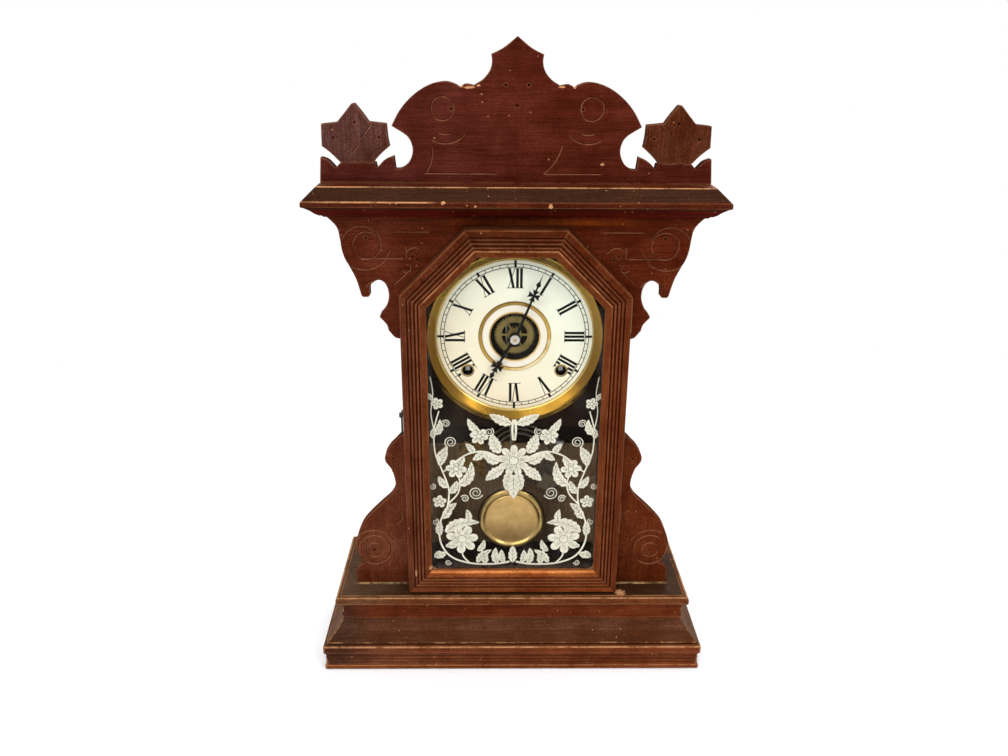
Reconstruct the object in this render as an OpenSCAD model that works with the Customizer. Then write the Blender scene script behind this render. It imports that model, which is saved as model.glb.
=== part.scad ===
// Eight-day striking shelf clock in a walnut case of the 1880s: moulded base, glazed octagonal door,
// sawn side wings, cornice, pierced crest with two leaf finials, and a two-train spring movement.
// Millimetres. +X is to the right, the front faces -Y, +Z is up, and the origin is the middle of the foot.

/* [Base] */
// Width over the base moulding
base_w = 352.6; // [340:0.1:380]
// Depth over the base moulding
base_d = 125; // [120:0.5:135]
// Height of the base, to the surface that the case stands on
base_h = 71; // [68:0.5:80]
// Height of the grooved plinth band
band_h = 26.5; // [24:0.5:29]
// How far the frieze stands in from the plinth
frieze_in = 17; // [15:0.5:20]
// How far the nosing stands in from the plinth
nosing_in = 12; // [11:0.5:14]
// Thickness of the top board
top_t = 8; // [7:0.5:9]
// Thickness of the moulded boards behind the frieze
base_wall = 10; // [9:0.5:14]
// Size of the square glue blocks
block_s = 16; // [12:0.5:20]

/* [Case] */
// Width over the case sides
case_w = 188; // [186:0.5:190]
// Height of the case between base and cornice
case_h = 349.5; // [346:0.5:356]
// Thickness of the case sides and top
side_t = 9; // [8:0.5:10]
// Thickness of the back board
back_t = 6; // [5:0.5:7]
// How far the case back stands in from the back of the base
back_in = 6.5; // [5:0.5:8]
// Depth of the case from the front of the sawn boards to its back
case_d = 79.5; // [78:0.5:82]
// Thickness of the sawn head board and wings
board_t = 9.5; // [9:0.25:10]
// Height of the sawn head board
head_h = 105.5; // [103:0.5:108]
// How far the wings' feet stand in from the edge of the top board
wing_in = 16.7; // [15:0.1:20]
// Half the width of the opening that the door closes
mouth_r = 84; // [83.5:0.25:84.5]

/* [Cornice and crest] */
// Half the width of the cornice
cornice_r = 172; // [168:0.5:174]
// Height of the cornice
cornice_h = 25; // [23:0.5:27]
// How far the cornice stands out in front of the sawn boards
cornice_out = 21.5; // [20:0.5:24]
// How far the cornice's top edge stands in
cornice_in = 12; // [10:0.5:14]
// Depth of the moulding strips round the cornice core
cornice_wall = 28; // [24:0.5:30]
// Height of the crest to its peak
crest_h = 113.3; // [105:0.1:120]
// Half the width of the crest's foot
crest_r = 161; // [157:0.5:163]
// Thickness of the crest and finials
crest_t = 10; // [9:0.5:12]
// How far the crest stands behind the sawn boards
crest_in = 12.5; // [11:0.5:16]

/* [Door] */
// Width of the door
door_w = 193; // [190:0.5:194]
// Gap under the door
door_lift = 1.5; // [1:0.25:2.5]
// Gap over the door
door_head = 7.5; // [5:0.5:9]
// Width and height of the cut-off upper corners
door_cut = 55; // [50:0.5:57]
// Width of the stiles and the bottom rail
rail_w = 21.5; // [20.5:0.1:22]
// Width of the top rail and the corner rails
head_rail_w = 23.6; // [21:0.1:24]
// Thickness of the frame members
door_t = 20; // [19:0.25:21]
// Gap between the closed door and the case front
door_gap = 0.5; // [0.4:0.05:0.8]
// Thickness of the glass
glass_t = 2; // [1.8:0.1:2.4]
// Depth of the glass behind the door's face
glass_in = 8; // [7.5:0.25:8.5]

/* [Hinges and hook] */
// Length of each hinge
hinge_l = 30; // [26:0.5:36]
// Radius of the hinge knuckles
knuckle_r = 2; // [1.8:0.05:2.1]
// Radius of the hinge pins
hinge_pin_r = 0.9; // [0.8:0.05:1]
// Thickness of the hinge leaves
leaf_t = 0.8; // [0.7:0.05:1]
// Height of the lower hinge over the base
hinge_low = 70; // [60:1:90]
// Depth of the upper hinge under the cornice
hinge_drop = 83.5; // [80:0.5:86]
// Height of the hook over the base
hook_h = 177; // [172:0.5:182]
// Distance from the hook's screw to its catch pin
hook_l = 14.5; // [14:0.1:15]
// Thickness of the hook's wire
hook_wire = 1.6; // [1.4:0.05:1.8]

/* [Dial and hands] */
// Depth of the dial's centre under the cornice
dial_drop = 105.1; // [104:0.1:106.5]
// Outer radius of the brass bezel
bezel_r = 82.5; // [82:0.25:83]
// Outer radius of the painted dial
dial_r = 70; // [69:0.25:71]
// Radius of the open centre
centre_hole_r = 21.2; // [20.5:0.1:22]
// Outer radius of the raised ring on the dial
ring_r = 31.5; // [30.5:0.25:33]
// Radius of the winding holes
wind_hole_r = 4.7; // [4.4:0.1:5]
// Thickness of the dial board
dial_board_t = 4; // [3.5:0.25:4.2]
// Length of the minute hand
minute_l = 62.5; // [59:0.5:64]
// Length of the hour hand
hour_l = 46; // [43:0.5:48]
// Angle of the minute hand, clockwise from the top
minute_at = 22; // [0:1:359]
// Angle of the hour hand, clockwise from the top
hour_at = 210; // [0:1:359]
// Thickness of the hands
hand_t = 0.7; // [0.6:0.05:0.8]
// Radius of the hand nut
nut_r = 4.1; // [3.8:0.1:4.4]

/* [Movement] */
// Half the width of the movement plates
plate_r = 54; // [53.5:0.25:58]
// Height of the plates over the dial centre
plate_up = 72.5; // [71.5:0.5:78]
// Depth of the plates below the dial centre
plate_down = 65; // [64.5:0.5:70]
// Thickness of the plates
plate_t = 1.6; // [1.5:0.05:1.7]
// Distance between the plates
plate_gap = 34; // [33.5:0.25:35]
// Distance of the front plate behind the dial board
plate_in = 6; // [5.8:0.1:6.3]
// Sideways distance of the winding arbors from the centre
wind_x = 41; // [40.9:0.05:41.2]
// Distance of the winding arbors below the centre
wind_down = 31.3; // [31.2:0.05:31.5]
// Height of the escape arbor over the centre
escape_up = 38.5; // [38.3:0.05:38.8]
// Distance from the escape arbor to the pallet arbor
verge_up = 20; // [19.9:0.05:20.2]
// Radius of the plain arbors
arbor_r = 1.2; // [1.1:0.05:1.25]
// Radius of the pivots
pivot_r = 0.8; // [0.7:0.05:0.9]
// Radius of the winding arbors
wind_r = 2.4; // [2.3:0.05:2.5]
// Radial clearance of every running fit
fit = 0.05; // [0.03:0.01:0.09]
// Thickness of the train wheels
wheel_t = 1.6; // [1.4:0.05:1.7]
// Outer radius of the wound mainsprings
spring_r = 24.5; // [23:0.25:24.6]
// Width of the mainsprings
spring_w = 18; // [16:0.5:18.5]
// Thickness of the mainspring strip
spring_t = 0.6; // [0.4:0.05:0.8]
// Radius of the plate pillars
pillar_r = 2.5; // [2.3:0.05:2.6]

/* [Pendulum and gong] */
// Height of the bob's centre over the base
bob_h = 60.9; // [57:0.1:65]
// Radius of the bob
bob_r = 32; // [28:0.5:34]
// Thickness of the bob
bob_t = 8; // [7:0.5:9]
// Radius of the pendulum wire
wire_r = 0.8; // [0.7:0.05:0.9]
// Outer radius of the gong coil
gong_r = 35; // [32:0.5:37]
// Turns of the gong coil
gong_turns = 3; // [2.25:0.25:3.5]
// Distance between the turns of the gong
gong_pitch = 5; // [4:0.25:5.5]
// Radius of the gong wire
gong_wire_r = 1.1; // [0.9:0.05:1.3]

/* [Hidden] */
$fn = 48;
// Overcut past a face, and the gap left where parts of two bodies face each other
eps = 0.5;
gap = 0.3;
// What the hands and their nut are bored over the arbor that they are pushed onto
push = 0.02;

// Depths, front to back
base_front_y = -base_d / 2;
case_back_y = base_d / 2 - back_in;
board_y = case_back_y - case_d;
board_back_y = board_y + board_t;
door_back_y = board_y - door_gap;
door_y = door_back_y - door_t;
crest_y = board_y + crest_in;
cornice_y = board_y - cornice_out;
dial_board_back_y = board_back_y + dial_board_t;
plate_y = dial_board_back_y + plate_in;
plate_in_y = plate_y + plate_t;
back_plate_y = plate_in_y + plate_gap;
back_board_y = case_back_y - back_t;

// Heights
cornice_z = base_h + case_h;
crest_z = cornice_z + cornice_h;
head_z = cornice_z - head_h;
centre_z = cornice_z - dial_drop;
door_z0 = base_h + door_lift;
door_z1 = cornice_z - door_head;
echo(overall_height = crest_z + crest_h);

// ---------------------------------------------------------------- shared shapes
function polar(r, a) = [r * cos(a), r * sin(a)];
function dist(a, b) = norm(b - a);
function bearing(a, b) = atan2(b.y - a.y, b.x - a.x);

// Where two circles meet, on the left of the way from a to b
function meeting(a, ra, b, rb) =
    let (d = dist(a, b), u = (b - a) / d, x = (ra * ra - rb * rb + d * d) / (2 * d),
        h = sqrt(max(0, ra * ra - x * x)))
    a + x * u + h * [-u.y, u.x];

// A smooth open curve through points; a third value of 1 makes the point a corner
function is_corner(p) = len(p) > 2;
function flat(p) = [p.x, p.y];
function slope(pts, i) =
    let (a = flat(pts[max(i - 1, 0)]), b = flat(pts[min(i + 1, len(pts) - 1)])) (b - a) / 2;
function hermite(a, b, ma, mb, t) =
    (2 * t ^ 3 - 3 * t ^ 2 + 1) * a + (t ^ 3 - 2 * t ^ 2 + t) * ma
    + (3 * t ^ 2 - 2 * t ^ 3) * b + (t ^ 3 - t ^ 2) * mb;
function curve(pts, steps = 4) = [
    for (i = [0 : len(pts) - 2])
        let (a = flat(pts[i]), b = flat(pts[i + 1]),
            ma = is_corner(pts[i]) ? b - a : slope(pts, i),
            mb = is_corner(pts[i + 1]) ? b - a : slope(pts, i + 1),
            n = is_corner(pts[i]) && is_corner(pts[i + 1]) ? 1 : steps)
        for (k = [0 : n - 1]) hermite(a, b, ma, mb, k / n),
    flat(pts[len(pts) - 1])];
function mirrored(pts) = [for (i = [len(pts) - 1 : -1 : 0]) [-pts[i].x, pts[i].y]];

// Stands a flat shape up: its x stays, its y becomes height, and its top face looks to the front
module upright(y) { translate([0, y, 0]) rotate([90, 0, 0]) children(); }
module mirror_pair() { children(); mirror([1, 0, 0]) children(); }
module bar(a, b, r) {
    d = b - a;
    translate(a) rotate([0, acos(d.z / norm(d)), atan2(d.y, d.x)]) cylinder(h = norm(d), r = r);
}

// Bends in wire are balls a little thicker than the wire
knee = 1.06;

// Carved lines, cut into the plane z = 0
carve_r = 0.7;
module carved_arc(at, r, from, to)
    translate(at) rotate(from) rotate_extrude(angle = to - from)
        translate([r, 0]) rotate(45) square(carve_r * sqrt(2), center = true);
module carved_line(a, b)
    translate(a) rotate(bearing(a, b)) translate([0, 0, -carve_r])
        rotate([45, 0, 0]) cube([dist(a, b), carve_r * sqrt(2), carve_r * sqrt(2)]);
module carved_dot(at) translate([at.x, at.y, -1.6]) cylinder(h = 2.6, r = 1.25, $fn = 24);

// ---------------------------------------------------------------- base
// Moulded section: x is the distance in from the plinth's face, y is the height
cove_foot = [2.5, band_h + 1.5];
cove_top = [frieze_in, base_h - top_t - 16.5];
function cove_pts(n = 6) = [for (i = [0 : n])
    let (t = i / n, p = cove_foot + t * (cove_top - cove_foot)) p + sin(180 * t) * [1.1, -0.9]];
function groove(z, inset) = [[inset, z - 0.8], [inset + 1, z], [inset, z + 0.8]];
base_section = concat(
    [[frieze_in + base_wall, 0], [2.6, 0], [1.2, 0.7], [0.8, 1.8], [0.8, 4.4], [1.8, 5.4]],
    groove(7.5, 1.8), groove(11, 1.8), groove(14.5, 1.8),
    [[1.8, 16.6], [0.5, 18], [0, 19.6], [0, band_h - 1], [0.6, band_h], [3.6, band_h], [3.6, cove_foot.y]],
    cove_pts(), [[frieze_in, base_h - top_t], [frieze_in + base_wall, base_h - top_t]]);

// A length of moulding along x, its face looking to -y
module moulding(section, length)
    translate([-length / 2, 0, 0]) rotate([90, 0, 90]) linear_extrude(length) polygon(section);
// Keeps what lies in front of the two mitre planes of a corner frame w wide
module front_mitre(w, deep, tall) translate([0, 0, -eps]) linear_extrude(tall + 2 * eps)
    polygon([[-w / 2, 0], [w / 2, 0], [w / 2 - deep, deep], [-w / 2 + deep, deep]]);
module side_mitre(deep, long, tall) translate([0, 0, -eps]) linear_extrude(tall + 2 * eps)
    polygon([[0, 0], [deep, deep], [deep, long], [0, long]]);

module base_front() color("#5b2a1c") translate([0, base_front_y, 0]) intersection() {
    moulding(base_section, base_w);
    front_mitre(base_w, frieze_in + base_wall, base_h);
}
module base_returns() color("#5b2a1c") mirror_pair()
    translate([-base_w / 2, base_front_y, 0]) intersection() {
        translate([0, base_d / 2, 0]) rotate(-90) moulding(base_section, base_d);
        side_mitre(frieze_in + base_wall, base_d, base_h);
    }
// The top board's edge is the rounded nosing, with a quirk behind it
nosing = [[nosing_in + 0.8, base_h - top_t], [nosing_in, base_h - top_t + 1.2], [nosing_in, base_h - 2.6],
    [nosing_in + 0.7, base_h - 1.2], [nosing_in + 2.2, base_h - 0.6], [nosing_in + 3.4, base_h - 1.4],
    [nosing_in + 4.4, base_h]];
module base_top_board() {
    board_depth = base_d - nosing_in;
    color("#4a2418") translate([0, base_front_y + nosing_in, 0]) intersection() {
        moulding(concat([for (p = nosing) p - [nosing_in, 0]],
            [[board_depth, base_h], [board_depth, base_h - top_t]]), base_w);
        translate([0, board_depth / 2, 0]) rotate(90)
            moulding(concat([for (p = nosing) p - [base_w / 2, 0]],
                [for (i = [len(nosing) - 1 : -1 : 0]) [base_w / 2 - nosing[i].x, nosing[i].y]]), base_d);
    }
}
block_x = base_w / 2 - frieze_in - base_wall - block_s;
crest_blocks = [-110, 0, 110];
module glue_blocks() color("#6b4a33") {
    for (y = [base_front_y + frieze_in + base_wall, base_d / 2 - block_s])
        mirror_pair() translate([block_x, y, 0]) cube([block_s, block_s, base_h - top_t]);
    for (x = crest_blocks) translate([x - block_s / 2, crest_y + crest_t, crest_z])
        rotate([90, 0, 90]) linear_extrude(block_s) polygon([[0, 0], [12, 0], [0, 12]]);
}

// ---------------------------------------------------------------- case
module case_sides() color("#4e2a1c") mirror_pair()
    translate([case_w / 2 - side_t, board_back_y, base_h]) cube([side_t, case_back_y - board_back_y, case_h]);
module case_top() color("#5a3a28") translate([-case_w / 2 + side_t, board_back_y, cornice_z - side_t])
    cube([case_w - 2 * side_t, back_board_y - board_back_y, side_t]);
module case_back() color("#6f5540") translate([-case_w / 2 + side_t, back_board_y, base_h])
    cube([case_w - 2 * side_t, back_t, case_h]);

// Outer edges of the sawn boards, right-hand side: the head board's hangs down from the cornice, the
// wing's stands up from the base
ear_edge = [[156.5, 0, 1], [151, -5], [147, -10.5], [145.4, -19], [144.3, -28], [142, -36], [137.3, -45],
    [133.4, -54], [129.8, -67.4, 1], [128.6, -68.6, 1], [124.2, -68.6, 1], [123, -67.4, 1], [122.6, -60],
    [120.1, -56.4], [115.2, -53.9], [110.3, -56], [107.4, -61.7], [107, -69.5], [110.1, -78.3],
    [114.6, -84.1], [115.2, -86.4, 1], [109.8, -92.6], [108.2, -97.9, 1], [103.2, -104], [99.2, -105.5, 1]];
wing_edge = [[97, 153.4, 1], [98.8, 153.2, 1], [101.8, 152.1], [106.8, 146.6], [111, 142.2], [115.6, 134.2],
    [115.9, 127.5], [111, 120.2, 1], [108.4, 112], [107.6, 103], [111.7, 93.2], [120.5, 84.4], [131, 73.8],
    [139.2, 63.5], [144.5, 51.2], [146.4, 42.6], [145.7, 34], [142.1, 25.8], [138.4, 21.9, 1], [143.4, 18.9],
    [146.8, 14.3, 1], [147.6, 0, 1]];
strip_x = door_w / 2 - 0.5;
// The sawn outlines keep to the strip beside the door, and their outer ends follow the cornice and the base
ear_k = (cornice_r - 15.5 - strip_x) / (ear_edge[0].x - strip_x);
wing_foot = len(wing_edge) - 1;
wing_k = (base_w / 2 - nosing_in - wing_in - strip_x) / (wing_edge[wing_foot].x - strip_x);
function spread(p, k) = [strip_x + (p.x - strip_x) * k, p.y];
function on_ear(p) = spread(p, ear_k);
function on_wing(p) = spread(p, wing_k);
mouth_top = centre_z + bezel_r + 1;
mouth_cut = door_cut - 8;

module head_outline() {
    lowest = ear_edge[len(ear_edge) - 1].y;
    edge = [for (p = curve(ear_edge)) [on_ear(p).x, cornice_z - p.y * head_h / lowest]];
    polygon(concat(mirrored(edge), edge, [[strip_x, head_z], [-strip_x, head_z]]));
}
module mouth_outline() polygon([[-mouth_r, head_z - eps], [mouth_r, head_z - eps],
    [mouth_r, mouth_top - mouth_cut], [mouth_r - mouth_cut, mouth_top],
    [-mouth_r + mouth_cut, mouth_top], [-mouth_r, mouth_top - mouth_cut]]);
// Incised scroll, leaf and lines of one ear, for the right-hand side
module ear_carving() translate([0, cornice_z, board_t]) {
    carved_arc(on_ear([124, -24.5]), 11.4, 60, 410);
    carved_arc(on_ear([128, -25]), 16.6, 20, 165);
    carved_arc(on_ear([126.5, -23]), 22, 195, 395);
    carved_arc(on_ear([115.5, -66]), 12.2, 25, 150);
    carved_arc(on_ear([84, -34.5]), 8.5, 25, 155);
    carved_arc(on_ear([91.5, -43.5]), 3.4, 90, 330);
    carved_line(on_ear([106, -13]), on_ear([72, -13]));
    carved_line(on_ear([128.5, -35.3]), on_ear([94.3, -35.3]));
    carved_line(on_ear([91.6, -26]), on_ear([91.6, -35.3]));
    carved_line(on_ear([90.5, -47]), on_ear([102, -57.5]));
    for (p = [[124, -18.1], [86, -33.6], [82.2, -36.4]]) carved_dot(on_ear(p));
}
hinge_zs = [base_h + hinge_low, cornice_z - hinge_drop];
// The hinge leaf is let into the face of the board behind the door
module leaf_recess() for (z = hinge_zs)
    translate([case_leaf_x, z - hinge_l / 2 - 0.1, board_t - leaf_t])
        cube([hinge_x + knuckle_r - case_leaf_x, hinge_l + 0.2, 2]);
module head_board() color("#5e2d1d") upright(board_back_y) difference() {
    linear_extrude(board_t) head_outline();
    translate([0, 0, -eps]) linear_extrude(board_t + 2 * eps) mouth_outline();
    mirror_pair() ear_carving();
    leaf_recess();
}
module wing(recess) difference() {
    edge = [for (p = curve(wing_edge)) on_wing(p) + [0, base_h]];
    linear_extrude(board_t)
        polygon(concat([[mouth_r, head_z], [strip_x, head_z], [strip_x, edge[0].y]], edge,
            [[mouth_r, base_h]]));
    translate([0, base_h, board_t]) {
        for (r = [7.4, 15.3]) carved_arc(on_wing([129.5, 35.6]), r, 0, 360);
        carved_arc(on_wing([129.5, 35.6]), 21, 20, 150);
        carved_arc(on_wing([110.5, 70.3]), 7.5, 110, 250);
        carved_dot(on_wing([129.5, 35.6]));
        carved_dot(on_wing([108.5, 130]));
    }
    if (recess) leaf_recess();
}
module wing_left() color("#5e2d1d") upright(board_back_y) mirror([1, 0, 0]) wing(false);
module wing_right() color("#5e2d1d") upright(board_back_y) wing(true);

// ---------------------------------------------------------------- cornice
cornice_section = [[15.5, 0], [14, 1.4], [12.4, 1.6], [9.8, 3.2], [6.6, 6.2], [2.6, 9], [0, 10.2], [0, 13.8],
    [0.9, 14.8], [cornice_in - 0.8, cornice_h], [cornice_wall, cornice_h], [cornice_wall, 0]];
cornice_d = case_back_y - cornice_y;
module cornice_front() color("#54301f") translate([0, cornice_y, cornice_z]) intersection() {
    moulding(cornice_section, 2 * cornice_r);
    front_mitre(2 * cornice_r, cornice_wall, cornice_h);
}
module cornice_returns() color("#54301f") mirror_pair()
    translate([-cornice_r, cornice_y, cornice_z]) intersection() {
        translate([0, cornice_d / 2, 0]) rotate(-90) moulding(cornice_section, cornice_d);
        side_mitre(cornice_wall, cornice_d, cornice_h);
    }
module cornice_core() color("#4a2c1e")
    translate([-cornice_r + cornice_wall, cornice_y + cornice_wall, cornice_z])
        cube([2 * (cornice_r - cornice_wall), cornice_d - cornice_wall, cornice_h]);

// ---------------------------------------------------------------- crest
crest_edge = [[161, 0, 1], [159.5, 20, 1], [153.6, 17.6], [147.8, 11.5, 1], [143.5, 16, 1], [115, 16, 1],
    [114.2, 11.7, 1], [108, 17.6], [100, 21.2, 1], [98.8, 11, 1], [93.5, 11.8], [88, 16.2], [84.7, 23.5],
    [85, 30.5], [89, 37.5], [101, 45.1, 1], [94.6, 56.4], [86.5, 65.8], [77, 73.2], [67, 77.8], [57, 79.4],
    [49.8, 77.6], [45.8, 75.2, 1], [41, 77.6], [34.4, 76.6, 1], [26.8, 81.4], [21.7, 88], [20.2, 94.5],
    [20.8, 100, 1], [15, 102.6], [9.2, 106], [0, 113.3, 1]];
finial_edge = [[143.6, 16.3, 1], [150.6, 23.4], [157.8, 29, 1], [157.5, 46.1, 1], [144.8, 47.5, 1],
    [138.6, 54.6], [132.4, 62, 1], [130.2, 62.2, 1], [124.4, 55], [119.5, 48.1, 1], [105.4, 46.6, 1],
    [104.7, 36.5], [103.4, 28.8, 1], [109.6, 23.6], [114.6, 18.6], [116.3, 16.3, 1]];
crest_kx = crest_r / 161;
crest_kz = crest_h / 113.3;
function on_crest(p) = [p.x * crest_kx, p.y * crest_kz + crest_z];
module crest_board() color("#632f1e") upright(crest_y + crest_t) difference() {
    edge = [for (p = curve(crest_edge)) on_crest(p)];
    linear_extrude(crest_t) polygon(concat(edge, mirrored([for (i = [0 : len(edge) - 2]) edge[i]])));
    translate([0, 0, crest_t]) {
        mirror_pair() {
            carved_arc(on_crest([60, 59]), 9.2, 0, 360);
            carved_arc(on_crest([58, 52.4]), 20.8, 222, 300);
            carved_arc(on_crest([58, 52.4]), 13.5, 250, 290);
            carved_dot(on_crest([53, 58.5]));
        }
        for (p = [[-9.2, 77], [9.2, 77], [0, 61.2]]) carved_dot(on_crest(p));
        carved_arc(on_crest([-97.8, 25.3]), 29.2, -38, 5);
        carved_arc(on_crest([0, 38.5]), 37.6, -53, -12);
        for (x = [[-75, -16], [22.6, 69.5]]) carved_line(on_crest([x[0], 7.8]), on_crest([x[1], 7.8]));
    }
}
module finial() difference() {
    linear_extrude(crest_t) polygon([for (p = curve(finial_edge)) on_crest(p)]);
    translate([0, 0, crest_t]) {
        carved_line(on_crest([117.2, 46.5]), on_crest([125.1, 35.8]));
        carved_line(on_crest([128.5, 30]), on_crest([133.5, 23.6]));
        for (p = [[130.5, 47.8], [148.3, 35.7], [111.4, 36]]) carved_dot(on_crest(p));
    }
}
module finial_left() color("#6a3c2b") upright(crest_y + crest_t) mirror([1, 0, 0]) finial();
module finial_right() color("#6a3c2b") upright(crest_y + crest_t) finial();

// ---------------------------------------------------------------- door
// The top rail and the corner rails are the same moulding, drawn out in width
head_k = head_rail_w / rail_w;
// Corners of the frame, anticlockwise from the lower left, at a distance in from the outer edge
function door_corners(inset) =
    let (r = door_w / 2 - inset, z0 = door_z0 + inset, z1 = door_z1 - inset * head_k,
        corner_sum = door_w / 2 + door_z1 - door_cut - inset * head_k * sqrt(2))
    [[-r, z0], [r, z0], [r, corner_sum - r], [corner_sum - z1, z1], [z1 - corner_sum, z1],
        [-r, corner_sum - r]];
// Section of a member: x runs in from the outer edge, y is the height over the door's back
rabbet_w = 5.8;
lip = door_t - glass_in;
// Moulded face: distance in from the outer edge, and depth below the face
door_face = [[0, 1.6], [0.4, 0.6], [1.4, 0], [5.2, 0], [5.8, 2], [6.4, 0.9], [7.4, 0.4], [8.3, 0.9],
    [8.9, 2.2], [9.5, 1], [10.5, 0.5], [11.4, 1], [12.1, 2.4], [12.8, 1.1], [13.6, 0.7], [14.5, 1.1],
    [15.2, 2.6], [15.8, 1.1], [16.2, 0.9], [16.8, 1.4], [rail_w - 0.7, 4.2], [rail_w, 4.7]];
door_section = concat([[0, 0]], [for (p = door_face) [p.x, door_t - p.y]],
    [[rail_w, lip], [rail_w - rabbet_w, lip], [rail_w - rabbet_w, 0]]);
// One mitred member along side i of the frame
module member(i, section) {
    o = door_corners(0);
    n = door_corners(rail_w);
    k = (i + 1) % 6;
    a = o[i];
    b = o[k];
    wide = i < 2 || i > 4 ? 1 : head_k;
    intersection() {
        translate(a) rotate(bearing(a, b)) rotate([90, 0, 90]) linear_extrude(dist(a, b))
            polygon([for (p = section) [p.x * wide, p.y]]);
        translate([0, 0, -eps]) linear_extrude(door_t + 2 * eps) polygon([o[i], o[k], n[k], n[i]]);
    }
}
module door_stile_left() color("#5a2a1c") upright(door_back_y) member(5, door_section);
module door_bottom_rail() color("#5a2a1c") upright(door_back_y) member(0, door_section);
module door_top_rail() color("#5a2a1c") upright(door_back_y) member(3, door_section);
module door_corner_rails() color("#5a2a1c") upright(door_back_y) {
    member(2, door_section);
    member(4, door_section);
}
module door_stile_right() color("#5a2a1c") upright(door_back_y) difference() {
    member(1, door_section);
    for (z = hinge_zs) translate([door_w / 2 - leaf_t, z - hinge_l / 2 - 0.1, -eps])
        cube([leaf_t + 1, hinge_l + 0.2, door_leaf_l + eps]);
    for (z = hinge_zs) translate([hinge_x, z - hinge_l / 2 - 3, door_back_y - hinge_y]) rotate([-90, 0, 0])
        cylinder(h = hinge_l + 6, r = knuckle_r + gap);
}
module door_glass() color([0.8, 0.85, 0.85, 0.35]) upright(door_back_y - lip + glass_t)
    linear_extrude(glass_t) polygon(door_corners(rail_w - rabbet_w + gap));
// Stepped bead that holds the glass in its rabbet: a wide step against the glass, a narrow one behind it
bead_wide = 5;
bead_narrow = 2.4;
bead_step = 3;
bead_face = lip - glass_t - gap / 3;
module bead_ring(width, top, tall) translate([0, 0, top - tall]) linear_extrude(tall) difference() {
    polygon(door_corners(rail_w - rabbet_w + gap / 3));
    polygon(door_corners(rail_w - rabbet_w + gap / 3 + width));
}
module glass_beads() color("#4a2418") upright(door_back_y) {
    bead_ring(bead_wide, bead_face, bead_step);
    bead_ring(bead_narrow, bead_face - bead_step, bead_step);
}

// ---------------------------------------------------------------- hinges and hook
hinge_x = door_w / 2 + 1;
hinge_y = board_y - knuckle_r - 1;
case_leaf_x = mouth_r + 5;
door_leaf_l = 18;
knuckles = 5;
knuckle_l = hinge_l / knuckles;
module knuckle_row(start) for (i = [start : 2 : knuckles - 1])
    translate([0, 0, i * knuckle_l - hinge_l / 2 + 0.1]) difference() {
        union() {
            cylinder(h = knuckle_l - 0.2, r = knuckle_r);
            children();
        }
        translate([0, 0, -eps]) cylinder(h = knuckle_l + eps, r = hinge_pin_r + fit);
    }
module hinge_case_leaves() color("#8a6a35") for (z = hinge_zs) translate([hinge_x, hinge_y, z]) {
    leaf_y = board_y - hinge_y;
    tongue = [-0.6, knuckle_r - 0.3];
    knuckle_row(0) translate([tongue[0], 0, 0])
        cube([tongue[1] - tongue[0], leaf_y + leaf_t / 2, knuckle_l - 0.2]);
    translate([case_leaf_x - hinge_x, leaf_y, -hinge_l / 2])
        cube([hinge_x - case_leaf_x + tongue[1], leaf_t, hinge_l]);
}
module hinge_door_leaves() color("#8a6a35") for (z = hinge_zs) translate([hinge_x, hinge_y, z]) {
    leaf_x = door_w / 2 - leaf_t - hinge_x;
    front_y = door_back_y - door_leaf_l - hinge_y;
    knuckle_row(1) translate([leaf_x, -knuckle_r - 0.8, 0]) cube([-leaf_x, 1.4, knuckle_l - 0.2]);
    translate([leaf_x, front_y, -hinge_l / 2]) cube([leaf_t, -knuckle_r - 0.2 - front_y, hinge_l]);
}
module hinge_pins() color("#5b5346") for (z = hinge_zs) translate([hinge_x, hinge_y, z - hinge_l / 2 - 1]) {
    cylinder(h = hinge_l + 2, r = hinge_pin_r);
    for (end = [-0.8, hinge_l + 1.9]) translate([0, 0, end]) cylinder(h = 0.9, r = hinge_pin_r + 0.5);
}

hook_z = base_h + hook_h;
hook_pin_y = board_y + 4.5;
hook_y = hook_pin_y - hook_l;
hook_x = -door_w / 2 - 1.2 - hook_wire / 2;
hook_pin_r = 1;
// The catch pin lies just under the hook's shank when the hook is up
hook_drop = hook_wire / 2 + gap + hook_pin_r;
// The hook lies flat beside the stile: an eye, a shank that reaches past the pin, and a curled thumb end
module door_hook() color("#161412") translate([hook_x + hook_wire / 2, hook_y, hook_z]) rotate([90, 0, -90])
    difference() {
        h = hook_wire / 2;
        end = -hook_l - hook_pin_r - gap - h;
        linear_extrude(hook_wire) {
            circle(r = 1 + gap + hook_wire);
            polygon(curve([[-h, -1.8, 1], [-h, end + 1, 1], [0.6, end - 0.5], [2.4, end - 0.8],
                [4.1, end - 0.2], [4.9, end + 2, 1], [3.7, end + 2.4, 1], [3.2, end + 1.1],
                [1.9, end + 0.8], [h, end + 1.6, 1], [h, -1.8, 1]]));
        }
        translate([0, 0, -eps]) cylinder(h = hook_wire + 2 * eps, r = 1 + gap);
    }
module hook_screw() color("#2a2622") translate([-door_w / 2, hook_y, hook_z]) rotate([0, -90, 0]) {
    cylinder(h = 1.2 + hook_wire + gap, r = 1);
    translate([0, 0, 1.2 + hook_wire + gap]) cylinder(h = 1, r = 2.3);
}
module hook_pin() color("#2a2622") translate([-strip_x, hook_pin_y, hook_z - hook_drop])
    rotate([0, -90, 0]) cylinder(h = hook_wire + 2.6, r = hook_pin_r);

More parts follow.
